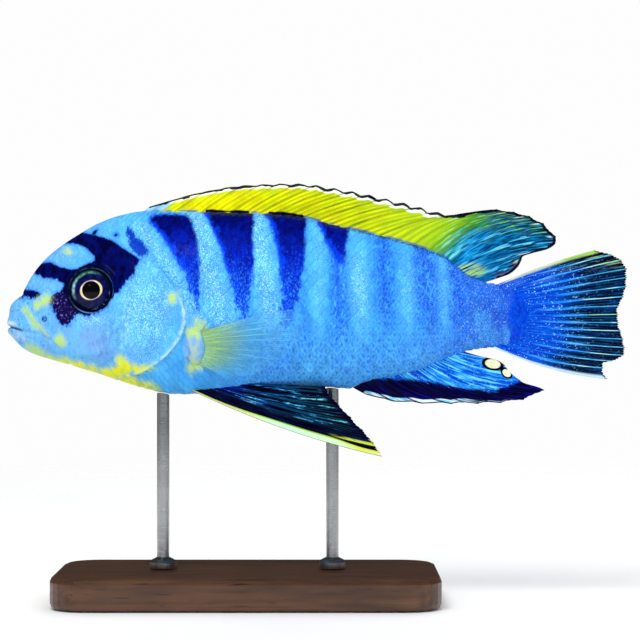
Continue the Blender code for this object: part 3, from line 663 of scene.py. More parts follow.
# Every field of the markings at these stations and heights. The speckle and the lilac blush are shares
# from 0 to 1: bells along the pale gaps between the bars, over the gill cover and over the cheek.
def markFields(station, height):
    station, height = np.broadcast_arrays(np.asarray(station, float), np.asarray(height, float))
    seenS, seenH = seenPlace(station, height)
    gillEdge = fromLine(headForm["gillSlit"][2:-1], station, height)
    ahead = station < gillStationAt(height)
    cheek = bell(fromOval(*markings["cheekBlush"], station, height), 0.9)
    cover = bell(fromOval(*markings["coverSpeckle"], station, height), 1.0)
    gaps = np.max([
        *[bell(station - middle - lean * height, width) * smoothStep(height, -9.0, 1.0)
          for middle, lean, width in markings["frontGaps"]],
        *[strength * bell(seenS - middle - lean * seenH, width) * bell(height - level, reach)
          for strength, middle, lean, width, level, reach in markings["rearGaps"]],
        0.35 * bell(seenS - 60.0, 1.6) * smoothStep(height, -9.0, 4.0),
        0.8 * bell(fromOval(*markings["belowEye"], seenS, seenH), 1.0),
        0.8 * bell(fromLine(markings["behindGill"], seenS, seenH), 1.5),
    ], axis=0)
    clear = np.max([
        bell(seenS - middle + 0.05 * seenH, width) for middle, width in markings["clearColumns"]
    ], axis=0) * smoothStep(height, -8.0, 0.0)
    bands = np.max([
        strength * bell(seenS - middle - lean * seenH, width) * smoothStep(height, low, low + 9.0)
        for strength, middle, lean, width, low in markings["rearBands"]
    ], axis=0)
    dark = np.maximum(fieldOfRings(markings["headDark"], seenS, seenH),
                      fieldOfRings(markings["lacrimal"], seenS, seenH))
    patches = fieldOfRings(markings["palePatches"], seenS, seenH)
    lobe, (lobeS, _, lobeH) = headForm["lobeCentre"], headForm["lobeSize"]
    fromEyeS, fromEyeH = station - eyeForm["centre"][0], height - eyeForm["centre"][1]
    orbit = np.hypot(fromEyeS, fromEyeH)
    onLip = np.abs(height + 2.4) < 3.4
    lipFade = smoothStep(headForm["lipEnd"] - station, 0.0, 3.0)
    overBars = np.max([
        smoothStep(half + 0.8 - np.abs(station - middle), 0.0, 0.8)
        for middle, half in markings["backLines"]
    ], axis=0)
    return dict(
        bars=fieldOfRings(markings["bars"], seenS, seenH),
        barCore=fieldOfRings(markings["bars"], seenS - 0.9, seenH),
        bands=bands,
        clear=clear,
        headDark=np.minimum(dark, -patches),
        lacrimal=fieldOfRings(markings["lacrimal"], seenS, seenH),
        napePatch=fieldOfRings(markings["napePatch"], seenS, seenH),
        yellow=fieldOfStrokes(markings["yellowStrokes"], seenS, seenH),
        lilac=cheek,
        speckle=np.clip(np.maximum(cover * ahead, gaps), 0.0, 1.0),
        gillRim=np.where(ahead, bell(gillEdge - 0.25, 0.34), bell(gillEdge, 0.2))
        * smoothStep(4.5 - height, 0.0, 4.0) * smoothStep(height, -12.0, -7.0),
        nostril=np.abs(fromPoint(headForm["nostril"], station, height) - 0.4),
        # a painted highlight along the gill cover's front edge
        coverRim=bell(fromLine(headForm["coverFront"], station, height) - 0.3, 0.4)
        * bell(height + 0.5, 4.5),
        belowBack=backAt(station) - height,
        backLine=np.maximum(
            overBars, 0.75 * smoothStep(station, 57.0, 62.0) * smoothStep(88.0 - station, 0.0, 4.0),
        ),
        lobe=np.hypot((station - lobe[0] + 0.4) / lobeS, (height - lobe[1]) / lobeH),
        orbit=orbit,
        orbitRing=np.abs(orbit - eyeForm["ringRadius"]),
        orbitDark=smoothStep(fromEyeH - fromEyeS, -3.4, 0.6),
        # a painted highlight over the upper lip, and the pale patch of the lower lip
        lipHighlightAndPale=onLip * (
            smoothStep(2.6 - station, 0.0, 1.4) * bell(height - mouthAt(station) - 0.85, 0.4)
            + 0.6 * lipFade * bell(height - mouthAt(station) + 1.4, 0.8)
        ),
        mouthLine=onLip * smoothStep(3.6 - station, 0.0, 1.2) * bell(height - mouthAt(station) + 0.02, 0.2),
    )


def addMarkings(mesh, station, height):
    for name, values in markFields(station, height).items():
        addField(mesh, name, values)


# The painted skin

skinLook = dict(
    grainScale=3400.0,      # scales of the noises, per metre: the paint's fine grain
    granuleScale=4200.0,    # pale granules
    dotScale=3100.0,        # dark dots
    raggedScale=1500.0,     # notches along the edges of the marks
    raggedDepth=0.9,        # their depth in millimetres
    blotchScale=800.0,
    cloudScale=240.0,
    slant=((1.0, 0.6, 0.55), (0.0, -14.0, 0.0)),        # the grain's squeeze and turn
    dotGrain=((1.0, 0.5, 0.6), (0.0, 16.0, 0.0)),
)


fishShades = dict(
    snout=(98, 166, 226), face=(72, 166, 240), shoulder=(62, 168, 248), flank=(66, 172, 250),
    stalk=(46, 128, 236), stalkEnd=(32, 84, 202), tailRoot=(20, 78, 210), lilac=(124, 162, 230),
    belly=(80, 166, 236), cloud=(92, 200, 252), headPale=(104, 206, 250), headDusk=(44, 130, 216),
    clear=(74, 180, 252), band=(14, 84, 232), dot=(0, 68, 206), granule=(186, 246, 255),
    stalkGranule=(150, 206, 255), finRootLow=(0, 50, 196), finRootHigh=(0, 84, 226),
    freckle=(20, 90, 150), scaleRim=(8, 78, 210), scaleDash=(4, 74, 208), barFoot=(0, 66, 222),
    barLow=(0, 52, 206), barMiddle=(0, 28, 174), barHigh=(0, 8, 110), barTop=(0, 4, 70),
    fringe=(0, 60, 230), barSpeck=(70, 140, 255), napePatch=(0, 48, 184), navy=(0, 8, 92),
    navyDark=(0, 0, 48), halo=(4, 84, 214), lacrimal=(20, 8, 70), lacrimalSpeck=(124, 116, 206),
    lobeBlue=(132, 174, 222), lobeYellow=(184, 204, 170), strokeYellow=(196, 226, 60),
    throatGreen=(204, 226, 50), throatYellow=(236, 236, 10), coverRim=(200, 240, 255),
    gillRim=(196, 242, 250), nostril=(4, 50, 140), backLine=(4, 6, 60), eyeSurround=(2, 6, 36),
    ringGlow=(90, 150, 214), lip=(214, 230, 240), mouthLine=(110, 74, 50),
)


# The markings' colour, the same for the skin and for the scales over it. Each mark's field is shifted by
# noise before it is cut off, so its edge is ragged, and more so low on the body.
def makeFishPaint():
    tint, look = tintsOf(fishShades), skinLook
    group, ins, outs = newGroup(
        "fishPaint", {"Plate Edge": 0.0, "Plate Mark": 0.0, "Plate Tone": 0.5},
        {"Color": "Color", "Grain": "Float", "Wet": "Float"},
    )

    def field(name):
        return fieldOf(group, name)

    where = objectPlace(group)
    alongX, alongZ = [nodeIn(group, "SeparateXYZ", {0: where}, axis) for axis in "XZ"]
    station = alongX * (1 / mm) + fishLength / 2
    height = alongZ * (1 / mm) - axisHeight
    slanted = stretched(where, *look["slant"])
    fine = noise(slanted, look["grainScale"], 3.0, 0.65)
    grain = noise(where, look["granuleScale"], 2.0, 0.6)
    middling = noise(slanted, look["blotchScale"], 2.0, 0.6)
    ragged = noise(slanted, look["raggedScale"], 3.0, 0.7)
    broad = noise(slanted, look["cloudScale"], 3.0, 0.55)
    dots = noise(stretched(where, *look["dotGrain"]), look["dotScale"], 2.0, 0.55)
    drift = middling - 0.5
    reach = rise(height, 14.0, -1.0) * 3.2 + look["raggedDepth"]
    uneven = ragged + drift * 0.7
    frayed = (fine - 0.5) * 0.9
    shift = (uneven - 0.5) * reach + frayed

    def cut(name, low, high, part=1.0):
        return rise(field(name) + shift * part, low, high)

    # the plain blue, from the snout to the tail, lilac on the cheek and violet on the tail's stalk
    wander = station + (broad - 0.5) * 30.0
    colour = ramp(
        wander / 110.0, (0.0, tint.snout), (0.2, tint.face), (0.45, tint.shoulder), (0.66, tint.flank),
        (0.78, tint.stalk), (0.86, tint.stalkEnd), (0.92, tint.tailRoot),
    )
    belly = rise(height, 0.0, -12.0) * (rise(station, 34.0, 50.0) * rise(station, 94.0, 80.0))
    onHead = rise(station, 27.0, 21.0)
    mottled = onHead * (1.0 - field("lilac") * 0.8)
    colour = layered(
        colour,
        (field("lilac"), tint.lilac, 0.85),
        (belly, tint.belly, 0.65),
        (rise(broad, 0.48, 0.62), tint.cloud, 0.4),
        (rise(ragged, 0.5, 0.64) * mottled, tint.headPale, 0.55),
        (rise(ragged, 0.44, 0.34) * onHead, tint.headDusk, 0.4),
    )

    # darker dots over the rear and the belly, and pale granules where the photo shows them
    rear = calc("MAXIMUM", rise(station, 60.0, 88.0), belly * 0.7)
    bands, clear = field("bands"), field("clear")
    lowFlank = rise(height, 3.0, -6.0) * rise(station, 38.0, 50.0)
    between = calc("MAXIMUM", rear * 0.6, lowFlank * 0.55) * (1.0 - clear)
    dotted = clamped(between + bands)
    granules = calc("MAXIMUM", rise(grain, 0.5, 0.64), rise(fine, 0.54, 0.66) * 0.8)
    toTail = rise(station, 74.0, 90.0) * rise(station, 97.5, 96.5)
    wavy = station + drift * 4.0
    colour = layered(
        colour,
        (clear, tint.clear, 0.6),
        (bands * rise(middling, 0.32, 0.52), tint.band, 0.8),
        (rise(dots, 0.5, 0.41) * dotted, tint.dot, 0.7),
        (granules * (field("speckle") * 0.84 + onHead * 0.08), tint.granule, 1.0),
        (rise(grain, 0.58, 0.66) * toTail, tint.stalkGranule, 0.7),
        (rise(wavy, 96.6, 98.0), blend(rise(fine, 0.4, 0.6), tint.finRootLow, tint.finRootHigh)),
        (rise(dots, 0.4, 0.32) * rise(station, 12.0, 3.0), tint.freckle, 0.65),
    )

    # rims of the scales, darkened as painted shade where one scale overlaps the next, and a dash on each,
    # darker towards the tail and the belly
    lowFlank = calc("MAXIMUM", rear, lowFlank)
    rim = ins["Plate Edge"] * (lowFlank * 0.2 + 0.14)
    dash = ins["Plate Mark"] + (ragged - 0.5)
    dashShare = clamped(bands * 0.5 + lowFlank * (0.65 - clear * 0.4))
    colour = layered(
        colour,
        (rim * rise(fine, 0.34, 0.56), tint.scaleRim),
        (rise(dash, 0.5, 0.9) * dashShare, tint.scaleDash, 0.85),
    )

    # bars with a bright front fringe, and the head's dark marks
    tall = height + drift * 12.0
    barTone = ramp(
        tall / 22.0, (0.0, tint.barFoot), (0.28, tint.barLow), (0.52, tint.barMiddle),
        (0.78, tint.barHigh), (0.98, tint.barTop),
    )
    inCore = field("barCore") + drift * 3.4
    gone = rise(height, 3.0, -4.0) * 0.4
    worn = rise(dots, 0.52, 0.6) * rise(height, 12.0, 2.0)
    barShare = clamped(cut("bars", -0.5, 0.5) - (gone + worn * 0.45))
    barTone = layered(
        barTone,
        ((1.0 - rise(inCore, -0.3, 0.7)) * rise(ragged, 0.3, 0.46), tint.fringe, 0.85),
        (rise(fine, 0.56, 0.66) * rise(height, 17.0, 2.0), tint.barSpeck, 0.8),
    )
    deep = blend(rise(middling, 0.35, 0.65), tint.navy, tint.navyDark)
    purple = blend(rise(fine, 0.58, 0.65), tint.lacrimal, tint.lacrimalSpeck)
    colour = layered(
        colour,
        (barShare, barTone),
        (cut("napePatch", -0.4, 0.4, 1.8), tint.napePatch, 0.95),
        (cut("headDark", -0.7, 0.2, 0.8), tint.halo, 0.75),
        (cut("headDark", -0.14, 0.18, 0.5), deep),
        (cut("lacrimal", -0.2, 0.7, 0.4), purple, 0.8),
    )

    # yellow strokes, the bright rim of the gill cover, the dark line along the back, the eye's surround,
    # and painted highlights
    lobeTone = blend(rise(middling, 0.35, 0.65), tint.lobeBlue, tint.lobeYellow)
    throat = rise(height, -7.0, -9.5) * rise(station, 30.0, 24.0)
    gold = blend(
        throat, tint.strokeYellow,
        blend(rise(middling, 0.42, 0.6), tint.throatGreen, tint.throatYellow),
    )
    softly = drift * 2.2 + frayed
    backLine = rise(field("belowBack"), 0.75, 0.25) * field("backLine")
    ringHighlightShare = 0.75 - field("orbitDark") * 0.6
    patchyLip = rise(ragged, 0.42, 0.58) * 0.5 + 0.4
    tone = ins["Plate Tone"] * 0.26 + 0.87
    colour = layered(
        colour,
        (rise(field("lobe"), 1.2, 0.6), lobeTone, 0.75),
        (rise(field("yellow") + softly, -1.1, 0.7), gold, throat * 0.2 + 0.78),
        # the painted highlight along the gill cover's front edge
        (field("coverRim") * rise(ragged, 0.48, 0.6), tint.coverRim, 0.5),
        (field("gillRim") * rise(ragged, 0.28, 0.55), tint.gillRim, 0.75),
        (rise(field("nostril"), 0.24, 0.06), tint.nostril, 0.9),
        (backLine * rise(ragged, 0.38, 0.5), tint.backLine, 0.9),
        (rise(field("orbit"), 5.2, 4.7) * field("orbitDark"), tint.eyeSurround, 0.95),
        # a painted highlight on the raised ring round the eye, fainter on its dark upper front side
        (rise(field("orbitRing"), 0.16, 0.05) * rise(middling, 0.4, 0.6), tint.ringGlow, ringHighlightShare),
        # the painted highlight on the upper lip and the pale lower lip, broken up by noise
        (field("lipHighlightAndPale") * patchyLip, tint.lip, 0.85),
        (field("mouthLine"), tint.mouthLine, 0.9),
    )
    shaded = nodeIn(group, "HueSaturation", {"Color": colour, "Value": tone}, "Color")
    setInputs(outs, Color=shaded, Grain=fine, Wet=rise(broad, 0.3, 0.7))
    return group


fishPaint = makeFishPaint()


def makeSkinMaterial(name, roughness, **fields):
    made, tree, shader = newMaterial(
        name, Coat_Weight=0.12, Coat_Roughness=0.1, Coat_IOR=1.35, Specular_IOR_Level=0.03,
    )
    values = {socket: fieldOf(tree, field) for socket, field in fields.items()}
    painted = groupIn(tree, fishPaint, **values)
    setInputs(
        shader, Base_Color=painted["Color"], Roughness=roughness + 0.1 - painted["Wet"] * 0.14,
        Normal=bumpFrom(painted["Grain"], 0.35, 0.00006),
    )
    return made


skinMaterial = makeSkinMaterial("paintedSkin", 0.36)
scaleMaterial = makeSkinMaterial(
    "paintedScales", 0.32, Plate_Edge="plateEdge", Plate_Mark="plateMark", Plate_Tone="plateTone",
)
print("materials of the skin are ready")


# The skin

skinForm = dict(
    columns=240,
    rowsAhead=196,
    rowsBehind=160,
    headDepth=0.05,         # the skin lies this far inside the solids on the head
    trunkDepth=0.16,        # and this far where scales lie over it
    # the gill cover's edge turned under: (steps along the body, heights over it), both in millimetres
    fold=(
        (-0.75, 0.45), (-0.35, 0.45), (-0.12, 0.44), (0.0, 0.38), (0.05, 0.28), (0.02, 0.18), (-0.2, 0.1),
        (-0.6, 0.02), (-1.0, -0.12), (-0.9, -0.3), (-0.5, -0.34), (0.0, -0.3), (0.5, -0.24), (1.0, -0.18),
    ),
    flatStep=0.12,          # between the same rows where there is no fold
    slitBetween=(14.0, 40.0),               # stations
    halvings=40,
    coverTop=(11.2, 3.4),                   # height where the cover's edge ends, and the fade below it
    coverFoot=(-12.8, -10.4),               # heights between which it begins
)


# Station at which the gill slit crosses the body's line at each angle, found by halving an interval.
def slitStations(angle):
    low, high = [np.full(angle.shape, station) for station in skinForm["slitBetween"]]
    for _ in range(skinForm["halvings"]):
        middle = (low + high) / 2
        ahead = middle < gillStationAt(ovalAt(middle, angle)[0])
        low, high = np.where(ahead, middle, low), np.where(ahead, high, middle)
    return (low + high) / 2


# How much of the gill cover's raised edge there is: full along the flank, none over the nape and throat.
def coverShareAt(height):
    top, fade = skinForm["coverTop"]
    return smoothStep(top - height, 0.0, fade) * smoothStep(height, *skinForm["coverFoot"])


def makeSkin():
    form = skinForm
    angle = np.linspace(0.0, 2 * math.pi, form["columns"], endpoint=False)[None, :]
    mirrored = np.where(angle > math.pi, 2 * math.pi - angle, angle)
    slit = slitStations(mirrored)
    share = coverShareAt(ovalAt(slit, mirrored)[0])
    foldSteps, foldHeights = np.array(form["fold"]).T[:, :, None]
    flat = (np.arange(len(form["fold"])) - len(form["fold"]) / 2)[:, None] * form["flatStep"]
    folded = slit + foldSteps * share + flat * (1 - share)
    t = np.linspace(0.0, 1.0, form["rowsAhead"] + 1)[1:-1, None]
    ahead = folded[:1] * t**2
    u = np.linspace(0.0, 1.0, form["rowsBehind"] + 1)[1:-1, None]
    behind = folded[-1:] + (bodyForm["end"] - folded[-1:]) * u
    station = np.concatenate([ahead, folded, behind])
    height, side = ovalAt(station, angle)
    rows = len(station)
    headRows, foldRows = len(ahead), len(folded)
    inFold = slice(headRows, headRows + foldRows)
    lift = reliefAt(station, height, 0.0)
    lift[:headRows] = reliefAt(station[:headRows], height[:headRows], share)
    pastFold = np.zeros((rows, 1))
    pastFold[headRows + foldRows // 2:] = 1.0
    lift[inFold] += foldHeights * share
    lift -= np.where(pastFold > 0, form["trunkDepth"], form["headDepth"])
    lift[inFold] += pastFold[inFold] * form["trunkDepth"] * share
    normal = normalAt(station, angle)
    points = place(station, side, height) + normal * lift[..., None] * mm
    snoutHeight = bodyForm["back"][0][1]
    snoutLift = float(reliefAt(np.array(0.0), np.array(snoutHeight), 0.0)) - form["headDepth"]
    snout = place(-snoutLift, 0.0, snoutHeight)
    tail = place(bodyForm["end"], 0.0, 0.0)
    points = np.concatenate([points.reshape(-1, 3), [snout, tail]])
    count = rows * form["columns"]
    firstRing = np.arange(form["columns"])
    lastRing = firstRing[::-1] + count - form["columns"]
    mesh = meshFrom(
        "fishSkin", points, gridFaces(rows, form["columns"], closed=True),
        np.concatenate([fanFaces(count, firstRing), fanFaces(count + 1, lastRing)]),
    )
    stations = np.append(station.ravel(), [0.0, bodyForm["end"]])
    heights = np.append(height.ravel(), [snoutHeight, 0.0])
    addMarkings(mesh, stations, heights)
    return addPiece(
        mesh, skinMaterial, "fish_skin", "head", "upper_jaw", "lower_jaw", "gill_cover_left",
        "gill_cover_right", "trunk", "tail_stalk",
    )


makeSkin()
print("skin done")


# The scales

scaleCoat = dict(
    pitch=((17.0, 1.15), (24.0, 1.4), (34.0, 1.9), (45.0, 2.1), (70.0, 2.0), (90.0, 1.5), (100.0, 1.0)),
    rowStep=(
        (17.0, 0.72), (24.0, 0.86), (34.0, 1.1), (45.0, 1.22), (70.0, 1.1), (90.0, 0.76), (100.0, 0.56),
    ),
    lateralLine=((17.0, 4.5), (34.0, 3.2), (60.0, 1.6), (96.0, 0.0), (101.6, 0.0)),
    rows=range(-22, 24),
    across=7,
    along=5,
    frontReach=0.62,        # of the pitch, from the scale's middle to its root
    rearReach=0.78,         # and to its free edge
    width=1.1,              # half width over the row step
    rootLift=-0.2,          # height of the root and of the free edge over the plain body
    edgeLift=0.0,
    crown=0.05,
    thickness=0.05,
    headLift=0.55,          # share of the lift that the small scales of the head have
    firstStation=17.0,
    lastStation=99.6,
    behindSlit=1.1,         # where the trunk's scales begin
    nape=(20.6, 19.6, 0.45, 10.4),          # front corner's station and height, lean, and lower end
    cover=(1.0, 25.0, -7.0, 8.8),           # gap to the slit, front, lower and upper end
    cheek=(17.4, 22.6, -6.6, -0.9, 5.8),    # front, rear, lower and upper end, distance from the eye
    lobeGap=(2.6, 4.2),
    patch=0.0015,           # half width of a scale's place on the baking map
    tableStart=12.0,        # first station of the table of arcs, and its numbers of samples
    tableStations=420,
    tableAngles=241,
    tableShares=201,
    wobble=0.04,            # of a scale's place, as a share of its pitch and row step
    sizes=(0.95, 1.05),
    dash=(0.76, 0.17, 0.62),                # place along the plate, half length and half width
    # the head's scales have less of the painted shade along their rims
    headRim=0.3,            # how much of the dark rim the head's scales have
    seed=7,
)


# Body lines by arc length: for each station the arc from the back to every angle, and the angle at even
# shares of that arc.
def makeArcTable():
    coat = scaleCoat
    stations = np.linspace(coat["tableStart"], bodyForm["end"] - 0.02, coat["tableStations"])[:, None]
    angles = np.linspace(0.0, math.pi, coat["tableAngles"])[None, :]
    height, side = ovalAt(stations, angles)
    steps = np.hypot(np.diff(height, axis=1), np.diff(side, axis=1))
    arcs = np.concatenate([np.zeros((len(stations), 1)), np.cumsum(steps, axis=1)], axis=1)
    shares = np.linspace(0.0, 1.0, coat["tableShares"])
    table = np.stack([np.interp(shares * row[-1], row, angles[0]) for row in arcs])
    lateral = smoothThrough(coat["lateralLine"])(stations[:, 0])
    lateralArc = np.array([np.interp(-h, -row, arc) for h, row, arc in zip(lateral, height, arcs)])
    return dict(stations=stations[:, 0], table=table, length=arcs[:, -1], lateral=lateralArc)


arcTable = makeArcTable()


# The angle at a station and at an arc distance above the lateral line, by straight interpolation between
# the table's rows and columns; also the arc's share from back to belly.
def angleOnBody(station, above):
    lines = arcTable
    length = np.interp(station, lines["stations"], lines["length"])
    share = (np.interp(station, lines["stations"], lines["lateral"]) - above) / length
    inside = np.clip(share, 0.0, 1.0)
    row = np.interp(station, lines["stations"], np.arange(len(lines["stations"])))
    column = inside * (lines["table"].shape[1] - 1)
    r0 = np.clip(row.astype(int), 0, len(lines["stations"]) - 2)
    c0 = np.clip(column.astype(int), 0, lines["table"].shape[1] - 2)
    fr, fc = row - r0, column - c0
    table = lines["table"]
    angle = (
        table[r0, c0] * (1 - fr) * (1 - fc) + table[r0, c0 + 1] * (1 - fr) * fc
        + table[r0 + 1, c0] * fr * (1 - fc) + table[r0 + 1, c0 + 1] * fr * fc
    )
    return angle, share


# Places of the scales: rows follow the lateral line, and the scales of each row sit halfway between those
# of the rows beside it. Returns station, arc above the lateral line, pitch and row step of each.
def scalePlaces():
    coat = scaleCoat
    pitchAt, stepAt = smoothThrough(coat["pitch"]), smoothThrough(coat["rowStep"])
    fine = np.linspace(coat["firstStation"], coat["lastStation"], 3000)
    courses = np.concatenate([[0.0], np.cumsum(np.diff(fine) * 2 / pitchAt(fine[1:]))])
    number = np.arange(int(courses[-1]) + 1)
    courseStation = np.interp(number, courses, fine)
    rowNumber = np.array(coat["rows"])[:, None]
    station = np.broadcast_to(courseStation, (len(rowNumber), len(number)))
    taken = (rowNumber + number) % 2 == 0
    station, row = station[taken], np.broadcast_to(rowNumber, taken.shape)[taken]
    above = row * stepAt(station)
    angle, share = angleOnBody(station, above)
    height = ovalAt(station, angle)[0]
    length = np.interp(station, arcTable["stations"], arcTable["length"])
    edge = stepAt(station) * 0.55 / length
    past = station - gillStationAt(height)
    onTrunk = past > coat["behindSlit"]
    front, top, lean, low = coat["nape"]
    onNape = ~onTrunk & (height > low) & (station > front + lean * (top - height))
    gap, front, low, high = coat["cover"]
    onCover = (past < -gap) & (station > front) & (height < high) & (height > low)
    front, rear, low, high, fromEye = coat["cheek"]
    onCheek = (station > front) & (station < rear) & (height < high) & (height > low)
    onCheek &= fromPoint(eyeForm["centre"], station, height) > fromEye
    keep = (share > edge) & (share < 1 - edge) & (onTrunk | onNape | onCover | onCheek)
    keep &= fromOval(headForm["lobeCentre"], coat["lobeGap"], station, height) > 1.0
    onHead = (onCover | onCheek)[keep]
    return station[keep], above[keep], pitchAt(station[keep]), stepAt(station[keep]), onHead


# One side's scales. A scale is an oval plate: x runs from its root to its free edge, y across it, and its
# height climbs evenly from the root to the free edge with a slight crown across. Its rim goes down by its
# thickness to a flat underside.
def makeScales(name, side):
    coat = scaleCoat
    station, above, pitch, step, onHead = scalePlaces()
    random = np.random.default_rng(coat["seed"])
    wobble = random.normal(0.0, coat["wobble"], (2, len(station)))
    size = random.uniform(*coat["sizes"], len(station))
    tone = random.uniform(0.0, 1.0, len(station))
    station = station + wobble[0] * pitch
    above = above + wobble[1] * step
    b, t = np.meshgrid(np.linspace(-1, 1, coat["across"]), np.linspace(0, 1, coat["along"]), indexing="ij")
    b, t = b.ravel(), t.ravel()
    bow = np.sqrt(1 - (0.9 * b) ** 2)
    x = (-coat["frontReach"] + (coat["frontReach"] + coat["rearReach"]) * t) * bow
    lift = coat["rootLift"] + (coat["edgeLift"] - coat["rootLift"]) * t + coat["crown"] * (1 - b**2) * t
    # the painted shade along a scale's rim: on its free edge and sides, and in full on the rim wall below
    edge = np.maximum(smoothStep(t, 0.7, 1.0), np.abs(b) ** 3 * t)
    grid = np.arange(coat["across"] * coat["along"]).reshape(coat["across"], coat["along"])
    rim = rimOf(grid)
    xAll = np.concatenate([x, x[rim]])
    bAll = np.concatenate([b, b[rim]])
    liftAll = np.concatenate([lift, lift[rim] - coat["thickness"]])
    edgeAll = np.concatenate([edge, np.ones(len(rim))]) * np.where(onHead, coat["headRim"], 1.0)[:, None]
    middle, halfLength, halfWidth = coat["dash"]
    mark = np.concatenate([bell(t - middle, halfLength) * bell(b, halfWidth), np.zeros(len(rim))])
    s = station[:, None] + xAll * (pitch * size)[:, None]
    v = above[:, None] + bAll * (step * size)[:, None] * coat["width"]
    s = np.minimum(s, bodyForm["end"] - 0.1)
    low = np.where(onHead, coat["headLift"], 1.0)[:, None]
    angle, _ = angleOnBody(s, v)
    height, out = ovalAt(s, angle)
    cover = np.where(s < gillStationAt(height) - 0.2, coverShareAt(height), 0.0)
    raised = liftAll * low + reliefAt(s, height, cover)
    normal = normalAt(s, angle)
    points = place(s, out, height) + normal * raised[..., None] * mm
    points[..., 1] *= side
    perScale = len(xAll)
    first = np.arange(len(station))[:, None, None] * perScale
    top = (gridFaces(coat["across"], coat["along"])[None] + first).reshape(-1, 4)
    under = np.arange(len(rim)) + len(x)
    walls = np.stack([rim, under, np.roll(under, -1), np.roll(rim, -1)], axis=-1)
    walls = (walls[None] + first).reshape(-1, 4)
    floor = (under[::-1][None, None] + first).reshape(-1, len(rim))
    mesh = meshFrom(name, points.reshape(-1, 3), top, walls, floor)
    addMarkings(mesh, s.ravel(), height.ravel())
    addField(mesh, "plateEdge", edgeAll)
    addField(mesh, "plateMark", np.broadcast_to(mark, s.shape))
    addField(mesh, "plateTone", np.broadcast_to(tone[:, None], s.shape))
    rootShare = angleOnBody(station, above)[1]
    u = (station / fishLength)[:, None] + xAll * coat["patch"]
    w = rootShare[:, None] * 0.9 + 0.05 - bAll * coat["patch"]
    addUvMap(mesh, "OFBake", np.stack([u.ravel(), w.ravel()], axis=1))
    return addPiece(mesh, scaleMaterial, "fish_skin", sharpAngle=50)


for sideName, side in (("scalesLeft", -1), ("scalesRight", 1)):
    coatPiece = makeScales(sideName, side)
    print(sideName, "done:", len(coatPiece.data.polygons), "faces")


# The fins

# What all fins share. Forks: how far a branch goes off its ray, in gaps between rays, and the share of the
# ray's length that this takes.
finForm = dict(
    lappetPeak=0.8,         # place of a lappet's tip in the gap between two spines
    fringe=0.012,           # depth of the notches between the tips of branches, as a share of the length
    forks=((0.22, 0.5), (0.11, 0.3)),
    taper=0.45,             # of a ray's width from root to tip
    branchTaper=0.3,        # and of a soft ray's besides
    jointLength=0.9,
    jointDepth=0.12,
    rootPart=0.35,          # share of the length over which the fin grows thick towards its root
    edgePart=0.93,          # where the fin's edge begins to thin
    mapRays=8,              # rays and millimetres along them that fill one unit of the fin's map
    mapLength=16,
)


